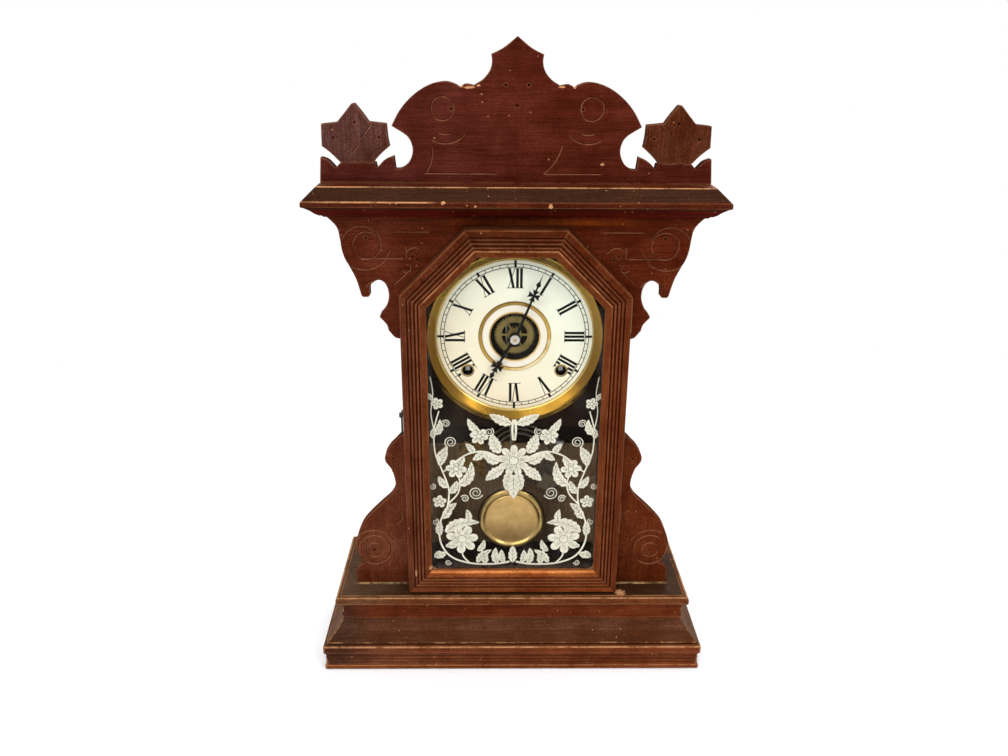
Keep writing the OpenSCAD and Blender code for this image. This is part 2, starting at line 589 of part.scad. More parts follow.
// ---------------------------------------------------------------- dial
module dial_board() {
    r = case_w / 2 - side_t - gap;
    color("#2c1a12") upright(dial_board_back_y) difference() {
        translate([-r, centre_z - bezel_r - 4, 0])
            cube([2 * r, cornice_z - side_t - gap - centre_z + bezel_r + 4, dial_board_t]);
        translate([0, centre_z, -eps]) cylinder(h = dial_board_t + 2 * eps, r = dial_r - 4, $fn = 96);
    }
}
module at_centre(y) translate([0, y, centre_z]) rotate([90, 0, 0]) children();
dial_rise = 4;
dial_t = 0.6;
module dial_plate() color("#e9e2c8") at_centre(board_back_y) difference() {
    rotate_extrude($fn = 96) polygon([[centre_hole_r, dial_rise - dial_t], [centre_hole_r, dial_rise + 1],
        [centre_hole_r + 1.5, dial_rise + 0.6], [centre_hole_r + 1.5, dial_rise], [ring_r - 3.4, dial_rise],
        [ring_r - 2.6, dial_rise + 1], [ring_r - 0.8, dial_rise + 1], [ring_r, dial_rise],
        [dial_r, dial_rise], [dial_r + 1.2, dial_rise - 1], [dial_r + 1.2, dial_t],
        [dial_r + 3.5, dial_t], [dial_r + 3.5, 0],
        [dial_r + 0.6, 0], [dial_r + 0.6, dial_rise - 1.4], [dial_r - 0.3, dial_rise - dial_t]]);
    for (s = [-1, 1]) translate([s * wind_x, -wind_down, -eps]) cylinder(h = 6, r = wind_hole_r);
}
// A spun bezel: a flat flange on the board, a wall, a sharp crest, and a slope down to the dial
bezel_wall = 5.2;
bezel_lip = bezel_r - dial_r + 2.5;
module bezel() color("#b08a3a") at_centre(board_back_y) rotate_extrude($fn = 96) polygon([for (p = [
    [0, 0], [0, 1.5], [0.6, 2.2], [3.9, 3.1], [bezel_wall - 0.4, 4], [bezel_wall, 8.6],
    [bezel_wall + 0.8, 9.7], [bezel_wall + 1.8, 10], [bezel_wall + 3, 9.4], [bezel_lip - 3, 6.4],
    [bezel_lip - 1.7, 5.4], [bezel_lip - 1.1, 5.5], [bezel_lip - 0.4, 5], [bezel_lip, 4.5], [bezel_lip, dial_rise + 0.1],
    [bezel_lip - 3.3, dial_rise + 0.1], [bezel_lip - 4, 5.6], [bezel_wall + 2.5, 8.3],
    [bezel_wall + 1.6, 8.8], [bezel_wall + 1.1, 8.2], [bezel_wall + 0.8, 3.2], [bezel_wall - 0.3, 2.1],
    [1.2, 1.1], [1.2, 0]]) [bezel_r - p.x, p.y]]);

// Hands: flat black steel with a splayed cross, a diamond and a point; x runs along the hand
hour_y = board_y + 1.5;
minute_y = hour_y - 4;
module cross(at, r) translate([at, 0]) for (a = [0, 90, 180, 270]) rotate(a)
    polygon([[0, -0.5], [r, -r * 0.52], [r * 0.86, 0], [r, r * 0.52], [0, 0.5]]);
module hand_shape(length, cross_at, cross_r, diamond_at, stem) {
    circle(r = 5);
    polygon([[0, -stem], [cross_at, -stem * 0.6], [length - 8, -0.6], [length, 0], [length - 8, 0.6],
        [cross_at, stem * 0.6], [0, stem]]);
    cross(cross_at, cross_r);
    polygon([[diamond_at - 3, 0], [diamond_at, -2.2], [diamond_at + 4.4, 0], [diamond_at, 2.2]]);
}
module hand(y, at, length, cross_at, cross_r, diamond_at, stem, bore)
    color("#141312") at_centre(y) rotate(90 - at) difference() {
        linear_extrude(hand_t) hand_shape(length, cross_at, cross_r, diamond_at, stem);
        translate([0, 0, -eps]) cylinder(h = 2, r = bore);
    }
module hour_hand() hand(hour_y, hour_at, hour_l, hour_l * 0.66, 5.4, hour_l - 7, 1.6, hour_pipe_r + push);
module minute_hand()
    hand(minute_y, minute_at, minute_l, minute_l * 0.665, 5.2, minute_l - 11, 1.4, centre_r + push);
module hand_nut() color("#b9b7b0") at_centre(minute_y - hand_t) difference() {
    union() {
        cylinder(h = 1.4, r = nut_r);
        cylinder(h = 2.6, r = nut_r * 0.62);
    }
    translate([0, 0, -eps]) cylinder(h = 4, r = centre_r + push);
}

// ---------------------------------------------------------------- wheel work
// Tooth counts
great_n = 72;
second_n = 64;
centre_n = 60;
third_n = 64;
warning_n = 56;
leaves = 8;
escape_n = 62;
cannon_n = 12;
minute_n = 36;
minute_leaves = 10;
hour_n = 40;
// Modules of the meshes, in order down each train
great_m = 0.72;
second_m = 0.65;
centre_m = 0.62;
third_m = 0.5;
hour_m = 0.85;
function reach(a, b, m) = (a + b) * m / 2;
minute_m = 2 * reach(minute_leaves, hour_n, hour_m) / (cannon_n + minute_n);
// Places of the arbors seen from the front, from the dial's centre
centre_at = [0, 0];
time_great_at = [wind_x, -wind_down];
escape_at = [0, escape_up];
verge_at = [0, escape_up + verge_up];
time_second_at = meeting(centre_at, reach(second_n, leaves, second_m),
    time_great_at, reach(great_n, leaves, great_m));
third_at = meeting(escape_at, reach(third_n, leaves, third_m), centre_at, reach(centre_n, leaves, centre_m));
minute_at_x = [reach(minute_leaves, hour_n, hour_m), 0];
strike_great_at = [-wind_x, -wind_down];
strike_second_at = [-time_second_at.x, time_second_at.y];
cam_at = strike_second_at + polar(reach(second_n, leaves, second_m), 100);
warning_at = cam_at + polar(reach(centre_n, leaves, centre_m), 75);
fly_at = warning_at + polar(reach(warning_n, leaves, third_m), 120);
hammer_at = [26, -58];
pillar_at = [[50, -60], [48, 66]];
foot_at = [[30, -58], [34, 66]];
// Depths of the wheels behind the front plate's inner face: each is its wheel's front face
great_lv = 7.6;
time_second_lv = 5.2;
strike_second_lv = 2.6;
centre_lv = 11.6;
third_lv = 15.6;
escape_lv = 0.8;
cam_lv = 21.6;
warning_lv = 27.6;
leaf_l = 3.2;
centre_r = 1.5;
hour_pipe_r = 3;
hour_bore_r = 2.3;

function wheel_pts(n, m) = let (r = n * m / 2) [for (i = [0 : n - 1]) each
    [polar(r - 1.6 * m, 360 * (i - 0.5) / n), polar(r + 0.8 * m, 360 * (i - 0.1) / n),
        polar(r + 0.8 * m, 360 * (i + 0.1) / n)]];
function pinion_pts(n, m) = let (r = n * m / 2) [for (i = [0 : n - 1]) each
    [polar(r - 1.15 * m, 360 * (i - 0.3) / n), polar(r + 0.75 * m, 360 * (i - 0.07) / n),
        polar(r + 0.75 * m, 360 * (i + 0.07) / n), polar(r - 1.15 * m, 360 * (i + 0.3) / n)]];

// Puts a shape on an arbor, z = 0 at a depth behind the front plate's inner face, z towards the front
module on_arbor(at, depth)
    translate([at.x, plate_in_y + depth, centre_z + at.y]) rotate([90, 0, 0]) children();
// A crossed-out wheel that fills the depth t in front of z = 0
module wheel(n, m, to, t = wheel_t, hub = 4, spokes = 4, rim = 2.6, bore = 0, arm = 1.8)
    rotate(to) difference() {
    r = n * m / 2 - 1.6 * m - rim;
    linear_extrude(t) polygon(wheel_pts(n, m));
    translate([0, 0, -eps]) difference() {
        cylinder(h = t + 2 * eps, r = r);
        translate([0, 0, -eps]) cylinder(h = t + 4 * eps, r = hub);
        for (i = [1 : spokes]) rotate(360 * i / spokes)
            translate([0, -arm / 2, -eps]) cube([r + 1, arm, t + 4 * eps]);
    }
    if (bore > 0) translate([0, 0, -eps]) cylinder(h = t + 2 * eps, r = bore);
}
// A pinion with one gap facing the wheel that drives it
module pinion(m, from, length = leaf_l, n = leaves) rotate(from + 180 + 180 / n)
    linear_extrude(length) polygon(pinion_pts(n, m));
// A plain arbor between the plates, with a pivot in each plate
module arbor(at, r = arbor_r, front_pivot = plate_t + 0.4) {
    on_arbor(at, plate_gap - 0.2) cylinder(h = plate_gap - 0.4, r = r);
    on_arbor(at, plate_gap + plate_t + 0.4)
        cylinder(h = plate_gap + plate_t + 0.4 + front_pivot, r = pivot_r);
}
// A staked arbor with its pinion and wheel. The pinion is centred on the driving wheel's depth
module staked(at, pinion_m, pinion_from, pinion_depth, n, m, to, depth) {
    arbor(at);
    on_arbor(at, pinion_depth + (leaf_l - wheel_t) / 2) pinion(pinion_m, pinion_from);
    on_arbor(at, depth) wheel(n, m, to);
}

ratchet_n = 12;
ratchet_r = 8;
ratchet_t = 1.4;
barrel_r = 3.2;
// The click's pivot, with a ratchet tip on the x axis
click_at = [12.4, -13.2];
module ratchet() linear_extrude(ratchet_t) polygon([for (i = [0 : ratchet_n - 1]) each
    [polar(ratchet_r, -360 * i / ratchet_n), polar(ratchet_r - 1.8, -360 * (i + 0.12) / ratchet_n)]]);
// A great wheel with its click riveted to one arm
module great_wheel(at, to) color("#b58f43") on_arbor(at, great_lv) {
    wheel(great_n, great_m, to, hub = 11.5, bore = wind_r + fit, rim = 4, arm = 6);
    rotate(to - bearing([0, 0], click_at)) translate([0, 0, -ratchet_t - 0.2]) {
        difference() {
            linear_extrude(ratchet_t) {
                translate(click_at) circle(r = 2.6);
                polygon([[6.75, -0.65], [8.6, -0.25], [10.2, -3], [13.4, -10.8], [10.6, -12], [8.6, -5]]);
            }
            translate([click_at.x, click_at.y, -eps]) cylinder(h = 3, r = 0.8 + fit);
        }
        translate([click_at.x, click_at.y, -0.4]) cylinder(h = ratchet_t + 1.2, r = 0.8);
    }
}
module winding_arbor(at, to) color("#7d7a72") {
    on_arbor(at, great_lv + ratchet_t + 0.2) rotate(to - bearing([0, 0], click_at)) ratchet();
    on_arbor(at, plate_gap - 0.2) cylinder(h = plate_gap - great_lv - ratchet_t - 0.4, r = barrel_r);
    on_arbor(at, plate_gap + plate_t + 0.4) cylinder(h = plate_gap + 2 * plate_t + 1, r = wind_r);
    on_arbor(at, -plate_t - 0.4) translate([-1.9, -1.9, 0]) cube([3.8, 3.8, 8]);
}
// Wound strip: a spiral whose outer end reaches the pillar
function spiral_r(s, out) =
    barrel_r + 0.4 + (spring_r - barrel_r - 0.4) * s + out * max(0, (s - 0.985) / 0.015);
module mainspring(at, pillar) {
    turns = 6;
    steps = 132;
    out = dist(at, pillar) - pillar_r - gap - spring_r - spring_t;
    end = bearing(at, pillar);
    function turn(i) = end + 360 * turns * (1 - i / steps);
    inner = [for (i = [0 : steps]) polar(spiral_r(i / steps, out), turn(i))];
    outer = [for (i = [steps : -1 : 0]) polar(spiral_r(i / steps, out) + spring_t, turn(i))];
    on_arbor(at, plate_gap - 1.5) linear_extrude(spring_w) polygon(concat(inner, outer));
}
module mainsprings() color("#6f747a") {
    mainspring(time_great_at, pillar_at[0]);
    mainspring(strike_great_at, [-pillar_at[0].x, pillar_at[0].y]);
}

time_great_to = bearing(time_great_at, time_second_at);
strike_great_to = bearing(strike_great_at, strike_second_at);
module time_great_wheel() great_wheel(time_great_at, time_great_to);
module time_winding_arbor() winding_arbor(time_great_at, time_great_to);
module time_second_wheel() color("#b58f43") staked(time_second_at, great_m, time_great_to,
    great_lv, second_n, second_m, bearing(time_second_at, centre_at), time_second_lv);
module centre_wheel() color("#b58f43") {
    arbor(centre_at, centre_r, 0);
    on_arbor(centre_at, 0) cylinder(h = plate_in_y - minute_y + hand_t + 2.4, r = centre_r);
    on_arbor(centre_at, time_second_lv + (leaf_l - wheel_t) / 2)
        pinion(second_m, bearing(time_second_at, centre_at));
    on_arbor(centre_at, centre_lv) wheel(centre_n, centre_m, bearing(centre_at, third_at));
    on_arbor(centre_at, cannon_depth) pinion(minute_m, 180, 1.4, cannon_n);
}
module third_wheel() color("#b58f43") staked(third_at, centre_m, bearing(centre_at, third_at), centre_lv,
    third_n, third_m, bearing(third_at, escape_at), third_lv);
escape_r = 15;
escape_t = 1.2;
module escape_wheel() color("#b58f43") {
    arbor(escape_at);
    on_arbor(escape_at, third_lv + (leaf_l - wheel_t) / 2) pinion(third_m, bearing(third_at, escape_at));
    on_arbor(escape_at, escape_lv + escape_t) difference() {
        linear_extrude(escape_t) polygon([for (i = [0 : escape_n - 1]) each
            [polar(escape_r, 360 * i / escape_n), polar(escape_r - 1.3, 360 * (i + 0.35) / escape_n)]]);
        translate([0, 0, -eps]) difference() {
            cylinder(h = 3, r = 11);
            translate([0, 0, -eps]) cylinder(h = 4, r = 3);
            for (i = [0 : 3]) rotate(90 * i) translate([0, -0.7, -eps]) cube([12, 1.4, 4]);
        }
    }
}

// ---------------------------------------------------------------- motion work, in front of the plates
cannon_depth = -plate_t - 1;
hour_wheel_depth = cannon_depth - 7;
minute_face_y = board_back_y + dial_board_t;
module minute_wheel() color("#b58f43") {
    on_arbor(minute_at_x, cannon_depth) wheel(minute_n, minute_m, 180, t = 1.2, bore = arbor_r + fit);
    on_arbor(minute_at_x, cannon_depth - 1.2) difference() {
        pinion(hour_m, 180, 7.6, minute_leaves);
        translate([0, 0, -eps]) cylinder(h = 9, r = arbor_r + fit);
    }
}
module hour_wheel() color("#b8923f") {
    on_arbor(centre_at, hour_wheel_depth) difference() {
        union() {
            wheel(hour_n, hour_m, 0, t = 1.2, hub = 6.2, spokes = 6, rim = 4.3);
            cylinder(h = plate_in_y + hour_wheel_depth - hour_y + hand_t + 0.6, r = hour_pipe_r);
        }
        translate([0, 0, -eps]) cylinder(h = 20, r = hour_bore_r);
    }
}

// ---------------------------------------------------------------- striking train
module strike_great_wheel() great_wheel(strike_great_at, strike_great_to);
module strike_winding_arbor() winding_arbor(strike_great_at, strike_great_to);
module strike_second_wheel() color("#b58f43")
    staked(strike_second_at, great_m, strike_great_to, great_lv, second_n, second_m,
        bearing(strike_second_at, cam_at), strike_second_lv);
module strike_cam_wheel() color("#b58f43") {
    staked(cam_at, second_m, bearing(strike_second_at, cam_at), strike_second_lv, centre_n, centre_m,
        bearing(cam_at, warning_at), cam_lv);
    on_arbor(cam_at, cam_lv + 2.4) difference() {
        cylinder(h = 1.2, r = 7);
        translate([4.6, -1.4, -eps]) cube([4, 2.8, 3]);
    }
}
module strike_warning_wheel() color("#b58f43")
    staked(warning_at, centre_m, bearing(cam_at, warning_at), cam_lv, warning_n, third_m,
        bearing(warning_at, fly_at), warning_lv);
module fly() color("#9a8d68") {
    arbor(fly_at);
    on_arbor(fly_at, warning_lv + (leaf_l - wheel_t) / 2) pinion(third_m, bearing(warning_at, fly_at));
    on_arbor(fly_at, 22) translate([-12.5, -0.25, 0]) cube([25, 0.5, 15]);
}
gong_at = [6, 105];
gong_y = back_board_y - 13;
module hammer() color("#6d655c") {
    top = [hammer_at.x, plate_in_y + 30.5, centre_z + hammer_at.y];
    drop = [hammer_at.x + 5, plate_in_y + 30.5, centre_z - plate_down - 11.4];
    back = [hammer_at.x + 7, gong_y, centre_z - plate_down - 19.4];
    head = [gong_at.x + gong_r + 4.4, gong_y, base_h + gong_at.y + 14];
    arbor(hammer_at);
    for (leg = [[top, drop], [drop, back], [back, head]]) bar(leg[0], leg[1], 0.8);
    for (p = [drop, back]) translate(p) sphere(r = 0.8 * knee, $fn = 24);
    translate(head - [3.4, 0, 0]) rotate([0, 90, 0]) cylinder(h = 8, r = 3.4);
    on_arbor(hammer_at, 12) linear_extrude(1.4) polygon([[-1, -1], [-14, 3], [-14, 5], [1, 1.6]]);
}

// ---------------------------------------------------------------- plates
module plate_outline() polygon([[-plate_r, -plate_down + 6], [-plate_r + 6, -plate_down],
    [plate_r - 6, -plate_down],
    [plate_r, -plate_down + 6], [plate_r, plate_up - 8], [plate_r - 8, plate_up], [-plate_r + 8, plate_up],
    [-plate_r, plate_up - 8]]);
pivots = [time_second_at, third_at, escape_at, strike_second_at, cam_at, warning_at, fly_at, hammer_at];
module plate_holes() {
    for (p = concat(pivots, [centre_at])) translate([p.x, p.y, -eps]) cylinder(h = 3, r = pivot_r + fit);
    for (p = [time_great_at, strike_great_at]) translate([p.x, p.y, -eps]) cylinder(h = 3, r = wind_r + fit);
    for (p = pillar_at) mirror_pair() translate([p.x, p.y, -eps]) cylinder(h = 3, r = pillar_r - 0.9 + fit);
}
pallet_window = [33, 13];
module plate_front() color("#b3914c") on_arbor(centre_at, 0) difference() {
    linear_extrude(plate_t) plate_outline();
    plate_holes();
    translate([0, 0, -eps]) cylinder(h = 3, r = centre_r + fit);
    translate([-pallet_window.x / 2, verge_at.y - 4 - pallet_window.y, -eps])
        cube([pallet_window.x, pallet_window.y, 3]);
}
module plate_back() color("#b3914c") on_arbor(centre_at, plate_gap + plate_t) difference() {
    linear_extrude(plate_t) plate_outline();
    plate_holes();
    translate([0, -44, -eps]) linear_extrude(3) polygon([[-12, -14], [12, -14], [9, 12], [0, 20], [-9, 12]]);
}
module plate_pillars() color("#8d867a") for (p = pillar_at) mirror_pair() {
    on_arbor(p, plate_gap) cylinder(h = plate_gap, r = pillar_r);
    on_arbor(p, plate_gap + plate_t + 3.4) cylinder(h = plate_gap + 2 * plate_t + 3.8, r = pillar_r - 0.9);
    on_arbor(p, plate_gap + plate_t + 2.6) difference() {
        cylinder(h = 2.6, r = 3.8, $fn = 6);
        translate([0, 0, -eps]) cylinder(h = 4, r = pillar_r - 0.9 + fit);
    }
}
module movement_feet() color("#8d867a") for (p = foot_at) mirror_pair()
    on_arbor(p, back_board_y - plate_in_y) {
        cylinder(h = back_board_y - back_plate_y - plate_t, r = 3);
        cylinder(h = 2, r = 5.5);
    }

// ---------------------------------------------------------------- escapement and pendulum
verge_z = centre_z + verge_at.y;
rod_y = plate_y - 4.6;
pallet_r = escape_r + 0.6;
module verge() color("#7b7872") {
    span = 42;
    on_arbor(verge_at, -plate_t - 0.6) difference() {
        union() {
            cylinder(h = 2, r = 2.6);
            for (s = [-1, 1]) {
                foot = polar(pallet_r + 2.2, 90 - s * span) + [0, -verge_up];
                linear_extrude(1.2) polygon([[0, 1.6], [s * 1.5, 2.4], foot + [s * 0.8, 0.8],
                    foot + [-s * 1.2, -0.8], [0, -1.2]]);
            }
            translate([-0.7, -27, 0.4]) cube([1.4, 26, 0.8]);
        }
        translate([0, 0, -eps]) cylinder(h = 4, r = arbor_r + fit);
    }
    for (s = [-1, 1]) on_arbor(escape_at, escape_lv + escape_t) rotate(90 - s * span)
        translate([pallet_r, -1, 0]) cube([2, 2, plate_t + escape_lv + escape_t + 1]);
    // Crutch loop: two prongs beside the pendulum wire
    for (s = [-1, 1]) translate([s * (wire_r + 0.5) - (s < 0 ? 0.6 : 0), rod_y - 1.6, verge_z - 27.6])
        cube([0.6, plate_y - rod_y + 0.6, 1.6]);
    translate([-wire_r - 1.1, plate_y - 1.9, verge_z - 27.6]) cube([2 * wire_r + 2.2, 0.9, 1.6]);
}
bob_z = base_h + bob_h;
rod_bend = [[0, -31], [-7, -42], [-7, -88], [-1, -176]];
module pendulum_rod() color("#8e8c86") translate([0, rod_y, verge_z]) {
    translate([-1.5, -0.2, -10]) cube([3, 0.4, 13]);
    translate([-2, -0.8, -11.5]) cube([4, 1.6, 3]);
    pts = [for (p = concat([[0, -10]], rod_bend, [[-1, bob_z + bob_r - 4 - verge_z]]))
        [p.x, 0, p.y]];
    for (i = [0 : len(pts) - 2]) bar(pts[i], pts[i + 1], wire_r);
    for (i = [1 : len(pts) - 2]) translate(pts[i]) sphere(r = wire_r * knee, $fn = 24);
}
module pendulum_bob() color("#b3893a") translate([-1, rod_y, bob_z]) rotate([90, 0, 0]) difference() {
    // Half of the rim's section: distance in from its edge, and depth below the face
    rim = [[9.2, 1.7], [8, 1.5], [7.2, 2], [6.4, 1.5], [5, 0.4], [3.6, 0], [2.2, 0.4], [0.8, 1.7]];
    translate([0, 0, -bob_t / 2]) rotate_extrude($fn = 96) polygon(concat([[0, 1.7]],
        [for (p = rim) [bob_r - p.x, p.y]], [[bob_r, bob_t / 2]],
        [for (i = [len(rim) - 1 : -1 : 0]) [bob_r - rim[i].x, bob_t - rim[i].y]], [[0, bob_t - 1.7]]));
    translate([0, bob_r - 4.2, 0]) rotate([-90, 0, 0]) cylinder(h = 10, r = wire_r + fit);
}

// ---------------------------------------------------------------- gong
// One unbroken tube: a flat spiral in the x-z plane, its outer end square to the cast block
gong_start = -30;
gong_lead = 2 * gong_wire_r;
function gong_pt(t) = let (a = gong_start + 360 * t, r = gong_r - gong_pitch * t) [r * cos(a), r * sin(a)];
function gong_centres() =
    let (n = round(24 * gong_turns), first = gong_pt(0), along = polar(1, gong_start + 90))
    concat([first - gong_lead * along, first - 0.4 * gong_lead * along], [for (i = [1 : n]) gong_pt(i / 24)]);
function gong_rings(c) = [for (i = [0 : len(c) - 1])
    let (d = i < 2 ? polar(1, gong_start + 90) : c[min(i + 1, len(c) - 1)] - c[i - 1], u = d / norm(d))
    for (k = [0 : 5]) [c[i].x - u.y * gong_wire_r * cos(60 * k), gong_wire_r * sin(60 * k),
        c[i].y + u.x * gong_wire_r * cos(60 * k)]];
function tube_faces(n) = concat([[5, 4, 3, 2, 1, 0]],
    [for (i = [0 : n - 2]) for (k = [0 : 5]) let (a = 6 * i + k, b = 6 * i + (k + 1) % 6) each
        [[a, b, b + 6], [a, b + 6, a + 6]]],
    [[for (k = [0 : 5]) 6 * (n - 1) + k]]);
module gong_coil() color("#5a544e") translate([gong_at.x, gong_y, base_h + gong_at.y])
    polyhedron(gong_rings(gong_centres()), tube_faces(len(gong_centres())), convexity = 6);
// Least distance between turns, measured on the tube's own centre points
gong_gap = min([for (c = [gong_centres()]) for (i = [0 : len(c) - 1]) for (j = [i + 12 : 1 : len(c) - 1])
    norm(c[j] - c[i])]) - 2 * gong_wire_r;
echo(gong_gap_to_itself = gong_gap);
// The block reaches in as far as the next turn allows, and the rest of it lies outside the coil
gong_block = [16, 16];
gong_seat = gong_pitch - 2 * gong_wire_r + 0.4;
module gong_base() color("#34312f") {
    foot = gong_pt(0) - gong_lead * polar(1, gong_start + 90);
    centre = foot - gong_block.x / 2 * polar(1, gong_start + 90)
        + (gong_block.y / 2 - gong_seat) * polar(1, gong_start);
    translate([gong_at.x + foot.x, 0, base_h + gong_at.y + foot.y]) rotate([0, -gong_start - 90, 0])
        translate([-gong_block.x, gong_y - 4, gong_seat - gong_block.y])
            cube([gong_block.x, back_board_y - gong_y + 4, gong_block.y]);
    translate([gong_at.x + centre.x, back_board_y, base_h + gong_at.y + centre.y]) rotate([90, 0, 0])
        cylinder(h = 3, r = 14);
}

base_front();
base_returns();
base_top_board();
glue_blocks();
case_sides();
case_top();
case_back();
head_board();
wing_left();
wing_right();
cornice_front();
cornice_returns();
cornice_core();
crest_board();
finial_left();
finial_right();
dial_board();
door_stile_left();
door_stile_right();
door_bottom_rail();
door_top_rail();
door_corner_rails();
door_glass();
glass_beads();
hinge_case_leaves();
hinge_door_leaves();
hinge_pins();
door_hook();
hook_screw();
hook_pin();
dial_plate();
bezel();
hour_hand();
minute_hand();
hand_nut();
plate_front();
plate_back();
plate_pillars();
movement_feet();
mainsprings();
time_great_wheel();
time_winding_arbor();
time_second_wheel();
centre_wheel();
third_wheel();
escape_wheel();
verge();
pendulum_rod();
pendulum_bob();
minute_wheel();
hour_wheel();
strike_great_wheel();
strike_winding_arbor();
strike_second_wheel();
strike_cam_wheel();
strike_warning_wheel();
fly();
hammer();
gong_coil();
gong_base();
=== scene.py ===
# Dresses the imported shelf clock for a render. Metres, Z up, and the front of the clock faces -Y.
import math
import random

import bmesh
import bpy
from mathutils import Matrix, Vector


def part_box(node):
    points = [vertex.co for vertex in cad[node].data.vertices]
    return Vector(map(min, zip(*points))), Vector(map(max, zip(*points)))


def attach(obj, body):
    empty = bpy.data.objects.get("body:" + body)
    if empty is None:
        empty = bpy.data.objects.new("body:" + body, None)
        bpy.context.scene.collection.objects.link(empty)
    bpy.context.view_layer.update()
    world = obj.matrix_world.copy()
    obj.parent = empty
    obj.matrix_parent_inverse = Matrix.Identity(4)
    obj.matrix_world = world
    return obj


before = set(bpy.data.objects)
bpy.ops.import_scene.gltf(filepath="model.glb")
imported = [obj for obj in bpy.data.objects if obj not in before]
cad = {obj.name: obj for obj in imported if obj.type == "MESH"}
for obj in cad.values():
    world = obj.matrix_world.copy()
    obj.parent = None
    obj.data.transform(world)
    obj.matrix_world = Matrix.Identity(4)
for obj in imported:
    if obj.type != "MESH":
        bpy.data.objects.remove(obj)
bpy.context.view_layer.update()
mm = 0.001  # lengths below are in millimetres, apart from the camera, the lamps and the floor
print("clock: frame loaded with", len(cad), "nodes")


# the camera, as worked out from the photograph
photoCamera = {
    "lens": 32.08,
    "location": (-0.0202, -0.7593, 0.5543),
    "forward": (0.0141, 0.9365, -0.3503),
    "up": (-0.0020, 0.3503, 0.9366),
}


def placeCamera():
    forward = Vector(photoCamera["forward"]).normalized()
    right = forward.cross(Vector(photoCamera["up"])).normalized()
    turn = Matrix((right, right.cross(forward), -forward)).transposed().to_4x4()
    data = bpy.data.cameras.new("photoCamera")
    data.lens = photoCamera["lens"]
    data.sensor_width = 36
    data.clip_start = 0.01
    camera = bpy.data.objects.new("photoCamera", data)
    camera.matrix_world = Matrix.Translation(photoCamera["location"]) @ turn
    bpy.context.scene.collection.objects.link(camera)
    bpy.context.scene.camera = camera


def put(tree, kind, plugs=None, **settings):
    # one shader node, with its sockets fed by values or by other nodes' outputs
    node = tree.nodes.new("ShaderNode" + kind)
    for name, value in settings.items():
        setattr(node, name, value)
    for name, value in (plugs or {}).items():
        feed(tree, node.inputs[name], value)
    return node


def feed(tree, socket, value):
    if isinstance(value, bpy.types.NodeSocket):
        tree.links.new(value, socket)
    elif isinstance(value, tuple) and len(value) == 3 and socket.type == "RGBA":
        socket.default_value = (*value, 1)
    else:
        socket.default_value = value


def calc(tree, operation, a, b=0.0, clamp=False):
    return put(tree, "Math", {0: a, 1: b}, operation=operation, use_clamp=clamp).outputs[0]


def plus(tree, a, b, clamp=False):
    return calc(tree, "ADD", a, b, clamp)


def minus(tree, a, b):
    return calc(tree, "SUBTRACT", a, b)


def times(tree, a, b, clamp=False):
    return calc(tree, "MULTIPLY", a, b, clamp)


def larger(tree, a, b, clamp=False):
    return calc(tree, "MAXIMUM", a, b, clamp)


def smaller(tree, a, b):
    return calc(tree, "MINIMUM", a, b)


def gap(tree, a, b):
    # distance between two values
    return calc(tree, "ABSOLUTE", minus(tree, a, b))


def hypotenuse(tree, a, b):
    return calc(tree, "SQRT", plus(tree, times(tree, a, a), times(tree, b, b)))


def remap(tree, value, low, high, toLow=0.0, toHigh=1.0):
    plugs = {"Value": value, "From Min": low, "From Max": high, "To Min": toLow, "To Max": toHigh}
    return put(tree, "MapRange", plugs).outputs[0]


def between(tree, value, low, high, soft=0.3):
    # 1 from low to high and 0 outside, with soft ends
    return times(tree, remap(tree, value, low - soft, low + soft),
                 remap(tree, value, high + soft, high - soft), clamp=True)


def mixColour(tree, factor, a, b, mode="MIX"):
    node = put(tree, "Mix", {0: factor, 6: a, 7: b}, data_type="RGBA", blend_type=mode)
    node.clamp_factor = True
    return node.outputs[2]


def clouds(tree, coords, size, detail=3.0, rough=0.55, shift=0.0, distortion=0.0):
    # noise whose features have the given size; three sizes stretch it, and shift moves it in metres
    scale = tuple(s * mm for s in (size if isinstance(size, tuple) else (size, size, size)))
    place = put(tree, "Mapping", {"Vector": coords, "Location": (shift, shift * 0.7, shift * 1.3),
                                  "Scale": scale}, vector_type="TEXTURE")
    plugs = {"Vector": place.outputs[0], "Scale": 1.0, "Detail": detail, "Roughness": rough,
             "Distortion": distortion}
    return put(tree, "TexNoise", plugs).outputs[0]


def fineRings(tree, radius, perMillimetre):
    # the marks of a lathe, by the distance from its axis
    plugs = {"W": times(tree, radius, perMillimetre), "Scale": 1.0, "Detail": 3.0}
    return put(tree, "TexNoise", plugs, noise_dimensions="1D").outputs[0]


def openness(tree, reach, **settings):
    # 1 on open faces and less in corners, or at thin edges with inside=True
    return put(tree, "AmbientOcclusion", {"Distance": reach * mm}, samples=8, **settings).outputs["AO"]


def startMaterial(name):
    material = bpy.data.materials.new(name)
    material.use_nodes = True
    tree = material.node_tree
    return material, tree, tree.nodes["Principled BSDF"], put(tree, "TexCoord").outputs["Object"]


def setSurface(tree, shader, colour, rough, specular=None, metallic=None):
    feed(tree, shader.inputs["Base Color"], colour)
    feed(tree, shader.inputs["Roughness"], rough)
    if specular is not None:
        feed(tree, shader.inputs["Specular IOR Level"], specular)
    if metallic is not None:
        feed(tree, shader.inputs["Metallic"], metallic)


def addBump(tree, shader, height, strength, depth, rounding=0.0):
    plugs = {"Strength": strength, "Distance": depth * mm, "Height": height}
    if rounding:
        plugs["Normal"] = put(tree, "Bevel", {"Radius": rounding * mm}, samples=4).outputs[0]
    feed(tree, shader.inputs["Normal"], put(tree, "Bump", plugs).outputs[0])


def splitAxes(tree, coords):
    # x, y and z in millimetres
    axes = put(tree, "SeparateXYZ", {0: coords}).outputs
    return [times(tree, axes[name], 1 / mm) for name in "XYZ"]


